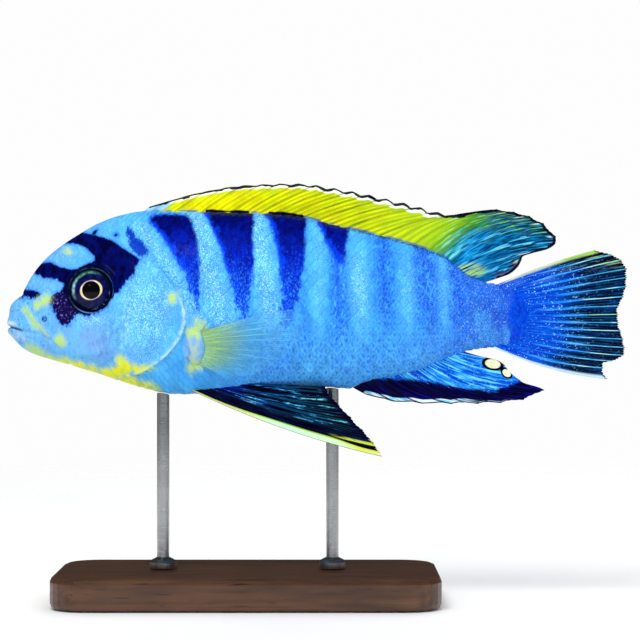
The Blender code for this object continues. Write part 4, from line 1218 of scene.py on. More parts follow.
# A fin's two faces as one closed sheet. A ray runs from the root line to the tip line; across is the share
# between the first and the last ray, along the share from root to tip. Each ray bows off its chord as a
# parabola, 4t(1 - t) times the bow. Rays are round ridges; a soft ray splits in two, and in two again.
def makeFin(name, form, sideAt, material, slot, node):
    rays, perRay, rows = form["rays"], form["perRay"], form["rows"]
    across = np.linspace(0.0, 1.0, (rays - 1) * perRay + 1)
    along = np.linspace(0.0, 1.0, rows)[:, None]
    rootAt, tipAt = [
        [smoothThrough([(row[0], row[axis]) for row in form[line]]) for axis in (1, 2)]
        for line in ("roots", "tips")
    ]
    bow, notch = smoothThrough(form["bow"])(across), smoothThrough(form["notch"])(across)
    number = across * (rays - 1)
    phase = np.clip(number - np.floor(number + 1e-9), 0.0, 1.0)
    splits = smoothThrough(form["splits"])(across) if "splits" in form else 0 * across
    spiny = 1 - splits
    peak = finForm["lappetPeak"]
    lappet = np.where(phase < peak, phase / peak, (1 - phase) / (1 - peak))
    frayed = 1 - np.abs(np.cos(4 * math.pi * number)) ** 0.5
    reach = 1 - notch * (spiny * lappet**1.3 + splits * np.sin(math.pi * phase))
    reach = reach - finForm["fringe"] * splits * frayed
    root = [at(across) for at in rootAt]
    chord = [(at(across) - start) * reach for at, start in zip(tipAt, root)]
    lift = 4 * along * (1 - along) * bow
    station = root[0] + along * chord[0] - lift * chord[1]
    height = root[1] + along * chord[1] + lift * chord[0]
    chordLength = np.hypot(*chord)
    stepS, stepH = np.gradient(station, axis=1), np.gradient(height, axis=1)
    rayGap = np.hypot(stepS, stepH) * perRay        # millimetres between two rays
    fork1, fork2 = [
        spread * smoothStep(along, start, start + length) * splits
        for (spread, length), start in zip(finForm["forks"], form["fork"])
    ]
    fromRay = np.minimum(phase, 1 - phase)[None, :]
    offRay = np.abs(np.abs(fromRay - fork1) - fork2) * rayGap
    width = form["rayWidth"] * (1 - finForm["taper"] * along)
    width = width * (1 - finForm["branchTaper"] * splits * smoothStep(along, 0.4, 0.9))
    branches = np.clip(1 - (offRay / width) ** 2, 0.0, 1.0) ** 0.5
    mainRay = np.clip(1 - (fromRay * rayGap / width) ** 2, 0.0, 1.0) ** 0.5
    fade = 1 - form.get("mainFade", 1.0) * smoothStep(along, 0.3, 0.7) * splits
    ridge = np.maximum(branches, mainRay * fade)
    rayHalf = form["rayHalf"][0] + (form["rayHalf"][1] - form["rayHalf"][0]) * along
    jointWave = np.sin(along * chordLength * 2 * math.pi / finForm["jointLength"])
    joints = 1 - finForm["jointDepth"] * splits * (jointWave > 0.8)
    rootward = smoothStep(finForm["rootPart"] - along, 0.0, finForm["rootPart"])
    web = form["web"] + (form["rootHalf"] - form["web"]) * rootward
    half = web + np.clip(rayHalf - web, 0.0, 1.0) * ridge * joints
    half = half * (1 - 0.5 * smoothStep(along, finForm["edgePart"], 1.0))
    side = sideAt(across[None, :] + 0 * along, along + 0 * station, station, height)
    pleat = form.get("pleat", 0.1) * np.sin(math.pi * number)[None, :] ** 2 * smoothStep(along, 0.0, 0.4)
    side = side + pleat * np.where(np.floor(number) % 2 > 0, 1, -1)
    shape = (rows, len(across))
    left = place(station, side - half, height).reshape(-1, 3)
    right = place(station, side + half, height).reshape(-1, 3)
    total = rows * len(across)
    grid = np.arange(total).reshape(shape)
    rim = rimOf(grid)
    faces = gridFaces(*shape)
    walls = wallFaces(rim, rim + total)
    mesh = meshFrom(name, np.concatenate([left, right]), faces[:, ::-1], faces + total, walls)
    outline = np.stack([station[-1], height[-1]], axis=1)[:: max(1, perRay // 6)]
    fields = dict(
        ray=ridge, mainRay=mainRay, along=along + 0 * station, across=across + 0 * station,
        margin=distanceTo(outline, station, height), phase=phase + 0 * station,
        finStation=station, finHeight=height,
    )
    for label, values in (fields | form.get("marks", lambda s, h: {})(station, height)).items():
        addField(mesh, label, np.tile(np.asarray(values, float).ravel(), 2))
    u, v = number / finForm["mapRays"] + 0 * station, along * chordLength / finForm["mapLength"]
    addUvMap(mesh, "finMap", np.tile(np.stack([u, v], axis=-1).reshape(-1, 2), (2, 1)))
    return addPiece(mesh, material, slot, node)


finLook = dict(
    squeeze=(34.0, 2.6, 1.0),       # of the streaks across and along the rays
    fleckScale=2900.0,              # per metre
    cloudScale=300.0,
)


# Streaks that run along the rays: noise on the fin's own map, squeezed across the rays.
def makeFinStreaks():
    group, ins, outs = newGroup(
        "finStreaks", {"Fineness": 1.0}, {"Streaks": "Float", "Flecks": "Float", "Clouds": "Float"},
    )
    uv = nodeIn(group, "UVMap", {}, "UV", uv_map="finMap")
    scaled = nodeIn(group, "VectorMath", {0: uv, "Scale": ins["Fineness"]}, "Vector", operation="SCALE")
    where = objectPlace(group)
    setInputs(
        outs, Streaks=noise(stretched(scaled, finLook["squeeze"]), 1.0, 3.0, 0.6),
        Flecks=noise(where, finLook["fleckScale"], 2.0, 0.6),
        Clouds=noise(where, finLook["cloudScale"], 2.0, 0.5),
    )
    return group


finStreaks = makeFinStreaks()


def finMaterial(name, shades, roughness=0.38):
    made, tree, shader = newMaterial(
        name, Coat_Weight=0.06, Coat_Roughness=0.12, Coat_IOR=1.35, Specular_IOR_Level=0.03,
    )
    streaks = groupIn(tree, finStreaks)
    setInputs(
        shader, Roughness=streaks["Flecks"] * 0.2 + (roughness - 0.1),
        Normal=bumpFrom(streaks["Streaks"], 0.5, 0.00008),
    )
    return made, tree, shader, streaks, tintsOf(shades)


dorsalFin = dict(
    rays=27, perRay=12, rows=46, rayWidth=0.26, rayHalf=(0.34, 0.2), web=0.1, rootHalf=0.3,
    rootDepth=1.3,
    rootStations=(
        (0.0, 25.0), (0.05, 26.4), (0.1, 29.4), (0.2, 36.2), (0.3, 43.2), (0.42, 51.6), (0.54, 60.4),
        (0.66, 70.2), (0.72, 76.0), (0.78, 81.0), (0.84, 84.6), (1.0, 90.0),
    ),
    tips=(
        (0.0, 27.3, 21.3), (0.05, 31.6, 22.6), (0.1, 36.8, 24.0), (0.2, 46.2, 25.5), (0.3, 55.3, 25.8),
        (0.42, 66.2, 24.3), (0.54, 76.6, 22.0), (0.66, 87.2, 19.7), (0.72, 93.6, 20.8), (0.78, 98.8, 20.1),
        (0.85, 103.9, 17.9), (0.9, 106.4, 14.4), (0.92, 104.6, 13.1), (0.935, 101.6, 12.3),
        (0.955, 99.7, 11.6), (0.97, 99.0, 9.9), (0.985, 97.3, 8.3), (1.0, 94.8, 7.4),
    ),
    bow=((0.0, 0.03), (0.6, 0.04), (0.8, 0.1), (1.0, -0.02)),
    notch=((0.0, 0.01), (0.3, 0.05), (0.5, 0.07), (0.62, 0.08), (0.72, 0.02), (1.0, 0.02)),
    splits=((0.0, 0.0), (0.655, 0.0), (0.68, 1.0), (1.0, 1.0)),
    fork=(0.3, 0.6), sway=(0.5, 0.6), pleat=0.12, mainFade=0.5,
    marks=lambda s, h: dict(
        black=np.maximum.reduce([
            0.45 - fromLine(((69.6, 23.5), (70.9, 23.2)), s, h),
            0.7 - fromLine(((87.6, 20.0), (91.0, 20.7), (94.6, 20.9), (99.0, 20.2)), s, h),
            0.3 - np.abs(h - backAt(s) - 0.1) - 3 * np.clip(np.abs(s - 42.4) - 4.2, 0.0, 1.0),
            0.3 - np.abs(h - backAt(s) - 0.1) - 3 * np.clip(np.abs(s - 53.7) - 3.4, 0.0, 1.0),
        ]),
        foot=h - backAt(s),
        yellowRoot=1.5 - fromOval((89.4, 9.0), (2.6, 1.2), s, h),
    ),
)
analFin = dict(
    rays=11, perRay=22, rows=46, rayWidth=0.3, rayHalf=(0.34, 0.16), web=0.1, rootHalf=0.3,
    rootDepth=1.3,
    rootStations=((0.0, 65.2), (0.3, 72.6), (0.65, 80.5), (1.0, 86.5)),
    tips=(
        (0.0, 69.3, -15.2), (0.1, 74.4, -16.5), (0.2, 80.0, -16.9), (0.35, 88.5, -17.0), (0.5, 95.4, -16.8),
        (0.62, 100.6, -16.0), (0.7, 103.8, -14.3), (0.78, 99.8, -12.8), (0.86, 97.2, -10.6),
        (0.93, 95.2, -8.7), (1.0, 91.4, -7.7),
    ),
    bow=((0.0, -0.03), (0.5, -0.08), (1.0, -0.02)),
    notch=((0.0, 0.1), (0.3, 0.05), (1.0, 0.02)),
    splits=((0.0, 0.0), (0.25, 0.0), (0.32, 1.0), (1.0, 1.0)),
    fork=(0.3, 0.62), sway=(0.4, 2.0), pleat=0.1,
    marks=lambda s, h: dict(
        egg=np.maximum(
            1 - np.hypot((s - 93.8) / 1.55, (h + 9.2 + 0.12 * (s - 93.8)) / 0.92),
            1 - np.hypot((s - 96.5) / 0.85, (h + 11.0 + 0.3 * (s - 96.5)) / 0.75),
        ),
        band=np.interp(s, (60.0, 69.6, 76.2, 83.3, 86.5, 94.4, 96.9, 99.0, 104.0),
                       (-11.5, -12.0, -12.1, -12.9, -13.9, -14.4, -13.4, -12.4, -12.0)) - h,
    ),
)
tailFin = dict(
    rays=17, perRay=16, rows=60, rayWidth=0.3, rayHalf=(0.4, 0.15), web=0.1, rootHalf=0.62,
    roots=((0.0, 94.0, 5.9), (0.5, 96.0, 0.0), (1.0, 94.0, -6.0)),
    tips=(
        (0.0, 113.6, 12.9), (0.06, 116.8, 12.1), (0.13, 119.0, 10.9), (0.2, 120.0, 8.9), (0.3, 119.9, 6.2),
        (0.38, 119.2, 3.7), (0.47, 118.1, 1.2), (0.57, 118.2, -1.4), (0.68, 119.0, -4.2),
        (0.79, 119.4, -7.0), (0.85, 118.1, -8.3), (0.91, 115.3, -9.2), (0.95, 115.2, -10.4),
        (1.0, 116.1, -12.2),
    ),
    bow=((0.0, 0.022), (0.5, 0.0), (1.0, -0.046)),
    notch=((0.0, 0.01), (1.0, 0.01)),
    splits=((0.0, 1.0), (1.0, 1.0)),
    fork=(0.2, 0.5), sway=(0.9, 0.3), pleat=0.08, mainFade=0.0,
)
pelvicFin = dict(
    rays=6, perRay=30, rows=56, rayWidth=0.34, rayHalf=(0.42, 0.16), web=0.1, rootHalf=0.36,
    roots=((0.0, 35.2, -14.1), (0.5, 38.6, -13.1), (1.0, 41.6, -12.9)),
    tips=(
        (0.0, 72.1, -26.8), (0.1, 71.7, -26.0), (0.3, 69.8, -23.4), (0.5, 67.7, -21.2), (0.75, 64.4, -17.5),
        (1.0, 61.3, -13.6),
    ),
    bow=((0.0, -0.028), (0.8, -0.02), (1.0, 0.012)),
    notch=((0.0, 0.01), (1.0, 0.02)),
    splits=((0.0, 0.0), (0.12, 0.0), (0.2, 1.0), (1.0, 1.0)),
    fork=(0.22, 0.5), pleat=0.12,
    spread=(2.7, 3.6, 0.45, 0.5),       # at the root, more at the tip, less behind, and a bow
)
pectoralFin = dict(
    rays=13, perRay=16, rows=50, rayWidth=0.2, rayHalf=(0.2, 0.09), web=0.05, rootHalf=0.24,
    roots=((0.0, 37.7, -2.9), (0.5, 38.4, -6.0), (1.0, 37.6, -9.0)),
    tips=(
        (0.0, 56.9, 1.6), (0.1, 57.8, -0.2), (0.25, 57.5, -2.9), (0.45, 55.4, -6.0), (0.65, 52.2, -8.9),
        (0.85, 47.4, -11.2), (1.0, 43.0, -12.0),
    ),
    bow=((0.0, 0.02), (1.0, -0.03)),
    notch=((0.0, 0.01), (1.0, 0.02)),
    splits=((0.0, 0.0), (0.06, 1.0), (1.0, 1.0)),
    fork=(0.4, 0.7), pleat=0.05,
    rise=((0.0, 0.1), (0.12, 0.8), (0.3, 1.25), (1.0, 2.6)),        # off the flank, from root to tip
    opacity=((0.0, 0.66), (0.2, 0.36), (0.6, 0.18), (1.0, 0.04)),   # of the membrane, from root to tip
)


dorsalShades = dict(
    yellow=(244, 242, 2), warmYellow=(228, 212, 4), oliveDark=(120, 156, 10), olive=(196, 208, 8),
    oliveLight=(238, 236, 6), stripe=(88, 126, 10), stripeLight=(166, 182, 6),
    nearMargin=(150, 200, 30), rearYellow=(150, 206, 40), greenDark=(10, 96, 40), green=(66, 160, 36),
    greenLight=(160, 210, 30), blueDark=(0, 66, 140), blue=(4, 126, 200), blueLight=(28, 164, 222),
    bluePale=(110, 220, 206), blueStreak=(0, 34, 96), web=(0, 84, 146), webEdge=(0, 14, 30),
    webStreak=(0, 116, 176), rayBlue=(20, 140, 220), rayBluePale=(110, 220, 214),
    rayGreen=(20, 128, 70), rayGreenPale=(130, 206, 80), rayTeal=(60, 180, 170), beam=(56, 160, 240),
    rayTip=(226, 244, 244), lappet=(244, 250, 240), notch=(20, 60, 40), yellowRoot=(170, 208, 50),
    front=(136, 204, 244), foot=(10, 70, 170), lowerLobe=(92, 88, 132), blot=(6, 6, 22),
    edge=(4, 8, 24),
)


def makeDorsalMaterial():
    made, tree, shader, streaks, tint = finMaterial("dorsalYellow", dorsalShades)
    streak, clouds = streaks["Streaks"], streaks["Clouds"]
    ray, mainRay, along, across = fieldsOf(tree, "ray", "mainRay", "along", "across")
    station, height, margin, phase = fieldsOf(tree, "finStation", "finHeight", "margin", "phase")

    gap = 1.0 - ray
    warm = blend(rise(clouds, 0.42, 0.6), tint.yellow, tint.warmYellow)
    olive = ramp(streak, (0.36, tint.oliveDark), (0.5, tint.olive), (0.6, tint.oliveLight))
    # olive in the gaps between the rays, and dark olive stripes behind each spine and in the middle of each
    # gap: painted shade beside the raised rays and pleats, in the fin's own olive
    stripe = rise(phase, 0.02, 0.1) * rise(phase, 0.36, 0.22)
    second = rise(phase, 0.5, 0.58) * rise(phase, 0.84, 0.7)
    stripe = clamped(stripe + second * rise(streak, 0.36, 0.56))
    stripe = stripe * (rise(station, 36.0, 62.0) * 0.65 + 0.3)
    yellow = laid(gap * rise(station, 36.0, 56.0), warm, olive, 0.5)
    green = ramp(streak, (0.36, tint.greenDark), (0.5, tint.green), (0.62, tint.greenLight))
    blue = ramp(
        streak, (0.36, tint.blueDark), (0.48, tint.blue), (0.56, tint.blueLight), (0.64, tint.bluePale),
    )
    finer = groupIn(tree, finStreaks, Fineness=2.0)["Streaks"]
    yellow = layered(
        yellow,
        (stripe, blend(rise(streak, 0.4, 0.56), tint.stripe, tint.stripeLight)),
        (rise(margin, 3.4, 0.8) * rise(streak, 0.56, 0.42), tint.nearMargin, 0.6),
        (rise(station, 60.0, 84.0), tint.rearYellow, 0.5),
    )
    webTone = blend(rise(margin, 4.5, 1.0), tint.web, tint.webEdge)
    web = blend(rise(finer, 0.46, 0.62), webTone, tint.webStreak)
    shifted = station + (streak - 0.5) * 16.0
    low = shifted - (height - 14.0) * 0.9
    colour = blend(rise(low, 78.0, 86.0), yellow, green)
    upper = rise(height + station * 0.12, 27.0, 28.8)
    blueShare = rise(low, 83.0, 90.0) * (1.0 - upper)
    blue = laid(rise(finer, 0.48, 0.4), blue, tint.blueStreak, 0.7)
    soft = rise(across, 0.655, 0.68)
    outer = rise(shifted, 88.0, 96.0) * soft
    narrow = rise(ray, 0.5, 0.9)
    blueLines = blend(rise(streak, 0.4, 0.6), tint.rayBlue, tint.rayBluePale)
    greenLines = blend(rise(streak, 0.4, 0.6), tint.rayGreen, tint.rayGreenPale)
    colour = layered(
        colour,
        (blueShare, blue),
        (outer * (1.0 - narrow), web, 0.95),
    )
    greenLines = laid(rise(station, 99.0, 105.0), greenLines, tint.rayTeal)
    beams = narrow * soft * rise(finer, 0.44, 0.58)
    spiny = 1.0 - soft
    fromEdge = margin - rise(station, 44.0, 76.0) * 0.26
    lappet = rise(fromEdge, 0.84, 0.62) * rise(margin, 0.26, 0.36)
    lappet = lappet * (rise(phase, 0.04, 0.14) * rise(phase, 0.96, 0.82))
    notched = rise(margin, 1.3, 0.9) * spiny * (rise(phase, 0.88, 0.98) + rise(phase, 0.08, 0.0))
    thick = 0.28 + rise(clouds, 0.42, 0.58) * 0.28
    slope = station - (height - 20.9) * 1.1
    black = fieldOf(tree, "black") + (clouds - 0.5)
    colour = layered(
        colour,
        (outer * narrow, blend(upper, blueLines, greenLines), 0.9),
        (beams * blueShare, tint.beam, 0.75),
        (mainRay * soft * rise(margin, 1.5, 0.5), tint.rayTip, 0.9),
        (lappet * (spiny * rise(along, 0.55, 0.65)), tint.lappet),
        (notched * rise(station, 32.0, 40.0), tint.notch, 0.8),
        (rise(fieldOf(tree, "yellowRoot"), 0.0, 0.9) * rise(streak, 0.42, 0.56), tint.yellowRoot, 0.9),
        (rise(slope, 30.7, 29.9), tint.front, 0.9),
        (rise(fieldOf(tree, "foot"), 0.45, 0.15) * rise(clouds, 0.4, 0.56), tint.foot, 0.7),
        (rise(across, 0.955, 0.97) * rise(margin, 0.9, 0.5), tint.lowerLobe, 0.9),
        (rise(black, -0.15, 0.15), tint.blot),
        (rise(margin - thick, 0.06, -0.04) * rise(along, 0.5, 0.6), tint.edge, 0.97),
    )
    setInputs(shader, Base_Color=colour)
    return made


tailShades = dict(
    blue=(0, 50, 186), blueLight=(0, 90, 222), dusk=(4, 62, 150), web=(0, 2, 18),
    webStreak=(0, 56, 120), branch=(0, 50, 130), branchLight=(20, 120, 170), beamRoot=(4, 88, 230),
    beam=(30, 140, 250), beamTip=(60, 186, 240), pale=(56, 150, 255), paleTip=(180, 246, 240),
    middleRay=(160, 224, 110), fleck=(150, 226, 255), topRoot=(214, 226, 190), topTip=(170, 212, 100),
    upperTip=(170, 212, 90), lowerEdge=(196, 232, 246), margin=(0, 4, 18),
)


def makeTailMaterial():
    made, tree, shader, streaks, tint = finMaterial("tailBlue", tailShades)
    streak, flecks = streaks["Streaks"], streaks["Flecks"]
    ray, mainRay, along, across = fieldsOf(tree, "ray", "mainRay", "along", "across")
    margin = fieldOf(tree, "margin")

    gap = 1.0 - ray
    shifted = along + (streak - 0.5) * 0.7
    colour = blend(rise(streak, 0.36, 0.62), tint.blue, tint.blueLight)
    web = blend(rise(streak, 0.5, 0.66), tint.web, tint.webStreak)
    narrow, beam = rise(ray, 0.75, 1.0), rise(mainRay, 0.0, 0.55)
    branch = blend(rise(streak, 0.44, 0.58), tint.branch, tint.branchLight)
    beamTone = ramp(along, (0.3, tint.beamRoot), (0.6, tint.beam), (0.9, tint.beamTip))
    tipTone = blend(rise(along, 0.5, 0.8), tint.pale, tint.paleTip)
    pale = blend(rise(streak, 0.48, 0.6), beamTone, tipTone)
    oneRay = mainRay * rise(along, 0.72, 0.78) * (rise(across, 0.47, 0.49) * rise(across, 0.53, 0.51))
    dusted = 0.75 - rise(along, 0.55, 0.85) * 0.6
    top = rise(across, 0.035, 0.012) * rise(along, 0.02, 0.2)
    upperTip = rise(across, 0.2, 0.1) * (rise(margin, 3.0, 1.0) * rise(streak, 0.5, 0.6))
    colour = layered(
        colour,
        (rise(shifted, 0.3, 0.6) * rise(streak, 0.6, 0.44), tint.dusk, 0.75),
        (rise(shifted, 0.42, 0.66), web, 0.97),
        (narrow * rise(shifted, 0.36, 0.6), branch, 0.65),
        (beam * rise(shifted, 0.24, 0.5), pale, 0.96),
        (oneRay, tint.middleRay),
        (rise(flecks, 0.63, 0.68), tint.fleck, dusted),
        (top, blend(rise(along, 0.5, 0.75), tint.topRoot, tint.topTip), 0.85),
        (upperTip, tint.upperTip, 0.7),
        (rise(across, 0.975, 0.99), tint.lowerEdge, 0.85),
        (rise(margin, 0.4, 0.15) * gap, tint.margin, 0.9),
    )
    setInputs(shader, Base_Color=colour)
    return made


analShades = dict(
    deep=(0, 60, 196), blue=(6, 112, 226), light=(46, 164, 242), pale=(110, 216, 255), web=(0, 56, 190),
    fleck=(150, 230, 255), band=(2, 0, 40), bandStreak=(6, 6, 110), lappet=(96, 196, 236),
    lappetPale=(226, 244, 250), rearLine=(160, 190, 226), margin=(4, 10, 30), lastRay=(4, 6, 30),
    eggRing=(2, 2, 22), egg=(214, 226, 170), eggPale=(236, 238, 206),
)


def makeAnalMaterial():
    made, tree, shader, streaks, tint = finMaterial("analBlue", analShades)
    streak, flecks = streaks["Streaks"], streaks["Flecks"]
    ray, across, margin, phase = fieldsOf(tree, "ray", "across", "margin", "phase")
    station = fieldOf(tree, "finStation")

    colour = ramp(streak, (0.36, tint.deep), (0.46, tint.blue), (0.54, tint.light), (0.62, tint.pale))
    dark = blend(rise(streak, 0.5, 0.66), tint.band, tint.bandStreak)
    low = rise(across, 0.62, 0.56) * rise(station, 68.0, 69.6)
    lappet = rise(margin, 0.85, 0.65) * rise(margin, 0.16, 0.26) * low
    parted = rise(phase, 0.06, 0.16) * rise(phase, 0.98, 0.86)
    pale = blend(rise(streak, 0.44, 0.56), tint.lappet, tint.lappetPale)
    thin = rise(margin, 0.36, 0.26) * rise(margin, 0.06, 0.12) * (
        rise(station, 84.0, 90.0) * rise(station, 98.0, 94.0)
    )
    egg = fieldOf(tree, "egg")
    cream = blend(rise(flecks, 0.4, 0.6), tint.egg, tint.eggPale)
    colour = layered(
        colour,
        ((1.0 - ray) * rise(streak, 0.56, 0.46), tint.web, 0.6),
        (rise(flecks, 0.6, 0.68), tint.fleck, 0.5),
        (rise(fieldOf(tree, "band") + (streak - 0.5) * 3.0, -0.25, 0.25), dark),
        (lappet * parted * rise(station, 92.0, 86.0), pale),
        (thin * rise(streak, 0.4, 0.5), tint.rearLine, 0.7),
        (rise(margin, 0.2, 0.1) * low, tint.margin, 0.9),
        (rise(across, 0.972, 0.985), tint.lastRay, 0.9),
        (rise(egg, -0.44, -0.34), tint.eggRing),
        (rise(egg, -0.02, 0.1), cream),
    )
    setInputs(shader, Base_Color=colour)
    return made


pelvicShades = dict(
    black=(2, 0, 22), blackStreak=(4, 22, 70), fanRoot=(10, 40, 170), fan=(20, 110, 200),
    fanOuter=(14, 130, 180), fanTip=(30, 120, 110), bright=(130, 226, 230), root=(10, 30, 170),
    innerLine=(196, 216, 60), leadRoot=(214, 222, 176), lead=(212, 220, 150),
    leadMiddle=(196, 240, 206), leadOuter=(206, 240, 196), leadYellow=(214, 224, 84),
    leadTip=(222, 226, 150), innerRoot=(206, 206, 90), innerGreen=(140, 206, 70),
    innerTip=(206, 220, 60), frontEdge=(40, 56, 60),
)


def makePelvicMaterial():
    made, tree, shader, streaks, tint = finMaterial("pelvicBlack", pelvicShades)
    streak, flecks = streaks["Streaks"], streaks["Flecks"]
    ray, along, across, margin = fieldsOf(tree, "ray", "along", "across", "margin")

    colour = blend(rise(streak, 0.42, 0.7), tint.black, tint.blackStreak)
    cyan = ramp(along, (0.0, tint.fanRoot), (0.35, tint.fan), (0.7, tint.fanOuter), (1.0, tint.fanTip))
    fan = rise(across, 0.3, 0.5) * rise(margin, 0.3, 1.6)
    bright = rise(streak, 0.6, 0.66) * rise(flecks, 0.4, 0.55)
    inner = rise(across, 0.24, 0.215) * rise(across, 0.18, 0.2) * rise(along, 0.74, 0.86)
    breadth = across - rise(along, 0.0, 0.5) * 0.05
    limit = 0.06 + rise(along, 0.1, 0.55) * 0.055
    limit = limit - rise(along, 0.74, 0.94) * 0.055
    lead = rise(breadth - limit, 0.01, -0.01) * rise(across, 0.004, 0.016)
    outer = ramp(
        along, (0.0, tint.leadRoot), (0.3, tint.lead), (0.5, tint.leadMiddle), (0.8, tint.leadOuter),
        (0.9, tint.leadYellow), (1.0, tint.leadTip),
    )
    innerTone = ramp(along, (0.0, tint.innerRoot), (0.5, tint.innerGreen), (0.9, tint.innerTip))
    inward = breadth - limit
    colour = layered(
        colour,
        (ray * fan, cyan, 0.2),
        (rise(streak, 0.55, 0.62) * fan, cyan, 0.9),
        (bright * fan, tint.bright, 0.95),
        (rise(along, 0.3, 0.0) * rise(across, 0.4, 0.8), tint.root, 0.8),
        (inner * rise(streak, 0.36, 0.46), tint.innerLine),
        (lead, blend(rise(inward, -0.04, -0.02), outer, innerTone)),
        (rise(across, 0.02, 0.004), tint.frontEdge, 0.8),
    )
    setInputs(shader, Base_Color=colour)
    return made


pectoralShades = dict(
    root=(176, 208, 70), green=(164, 208, 110), blue=(96, 190, 226), tip=(100, 194, 248),
    lower=(160, 214, 130), ray=(40, 130, 190), rayPale=(136, 220, 226),
)


def makePectoralMaterial():
    made, tree, shader, streaks, tint = finMaterial("pectoralClear", pectoralShades, 0.34)
    ray, along, streak = fieldOf(tree, "ray"), fieldOf(tree, "along"), streaks["Streaks"]
    colour = ramp(along, (0.0, tint.root), (0.2, tint.green), (0.5, tint.blue), (1.0, tint.tip))
    lower = rise(fieldOf(tree, "across"), 0.3, 0.85) * rise(along, 0.8, 0.15)
    lines = blend(rise(streak, 0.42, 0.58), tint.ray, tint.rayPale)
    colour = layered(
        colour,
        (lower * 0.6, tint.lower),
        (ray * 0.6, lines),
    )
    setInputs(shader, Base_Color=colour)
    web = ramp(along, *[(at, (solid, solid, solid, 1.0)) for at, solid in pectoralFin["opacity"]])
    drawn = ray * rise(along, 1.15, 0.5)
    solid = clamped(web + drawn * 0.25)
    setInputs(shader, Alpha=solid)
    return made


# Side distance of a fin's sheet: a slight sway, a spread to either side, or a rise off the flank.
def swaying(form):
    amount, start = form["sway"]
    return lambda across, along, s, h: amount * along**2 * np.sin(2 * math.pi * across + start)


def trailing(side):
    atRoot, outward, inward, bow = pelvicFin["spread"]
    return lambda across, along, s, h: side * (
        atRoot + outward * along * (1 - inward * across) + bow * np.sin(math.pi * along)
    )


def besideFlank(side):
    riseAt = smoothThrough(pectoralFin["rise"])
    return lambda across, along, s, h: side * (flankAt(s, h) + riseAt(along))


for form, edgeAt, sign in ((dorsalFin, backAt, -1), (analFin, bellyAt, 1)):
    form["roots"] = [
        (share, s, float(edgeAt(s)) + sign * form["rootDepth"]) for share, s in form["rootStations"]
    ]
makeFin("dorsalFin", dorsalFin, swaying(dorsalFin), makeDorsalMaterial(), "dorsal_membrane", "dorsal_fin")
makeFin("analFin", analFin, swaying(analFin), makeAnalMaterial(), "fin_membrane", "anal_fin")
makeFin("tailFin", tailFin, swaying(tailFin), makeTailMaterial(), "fin_membrane", "tail_fin")
pelvicMaterial, pectoralMaterial = makePelvicMaterial(), makePectoralMaterial()
for label, side in (("left", -1), ("right", 1)):
    makeFin(
        f"pelvicFin.{label}", pelvicFin, trailing(side), pelvicMaterial, "fin_membrane",
        f"pelvic_fin_{label}",
    )
    makeFin(
        f"pectoralFin.{label}", pectoralFin, besideFlank(side), pectoralMaterial, "clear_membrane",
        f"pectoral_fin_{label}",
    )
print("fins done")


# The eyes

# Frame of an eye: its centre in the frame's metres and its three directions, forward-back, up and out.
def eyeFrame(side):
    station, height = eyeForm["centre"]
    out = float(flankAt(np.array(station), np.array(height))) + eyeForm["standsOut"] - eyeForm["halfDepth"]
    turned = Matrix.Rotation(side * eyeForm["turnForward"], 3, "Z")
    turned = turned @ Matrix.Rotation(side * eyeForm["turnUp"], 3, "X")
    axes = [np.array(turned @ Vector(axis)) for axis in ((1, 0, 0), (0, 0, 1), (0, side, 0))]
    return place(station, side * out, height), axes


eyeLook = dict(
    segments=96, rings=44, radius=4.15, bulge=0.3, ringWidth=0.3, ringHeight=0.34, ringCorners=14,
    hollow=(0.12, 0.12, 2.9, 0.6),      # of the iris: depth, more along a circle, its radius and width
    goldLift=(0.05, 0.16),              # height and width of the rise at the pupil's golden edge
)


# A surface turned round the eye's axis: radius and depth along a profile, both in millimetres. A ring joins
# its last row to its first, and any other surface is closed by a point at each end.
def turnedMesh(name, side, profile, isRing=False):
    centre, (across, up, out) = eyeFrame(side)
    radius, depth = np.array(profile, float).T
    segments, rows = eyeLook["segments"], len(profile)
    turn = np.linspace(0.0, 2 * math.pi, segments, endpoint=False)[None, :]
    x, z = radius[:, None] * np.cos(turn), radius[:, None] * np.sin(turn)
    d = depth[:, None] + 0 * turn
    points = centre + (x[..., None] * across + z[..., None] * up + d[..., None] * out) * mm
    points = points.reshape(-1, 3)
    first = np.arange(segments)
    last = first + (rows - 1) * segments
    if isRing:
        closing = wallFaces(last, first)
    else:
        points = np.concatenate([points, [centre + out * depth[0] * mm, centre + out * depth[-1] * mm]])
        closing = np.concatenate(
            [fanFaces(rows * segments, first), fanFaces(rows * segments + 1, last[::-1])],
        )
    return meshFrom(name, points, gridFaces(rows, segments, closed=True), closing), points, radius, turn


eyeShades = dict(
    iris=(4, 4, 40), irisFibre=(10, 18, 92), irisRim=(2, 16, 44), arc=(84, 160, 140),
    arcPale=(170, 222, 240), glimmer=(120, 170, 226), goldDull=(186, 170, 190), gold=(252, 240, 178),
    goldSpeck=(170, 130, 90), pupil=(4, 4, 10),
)


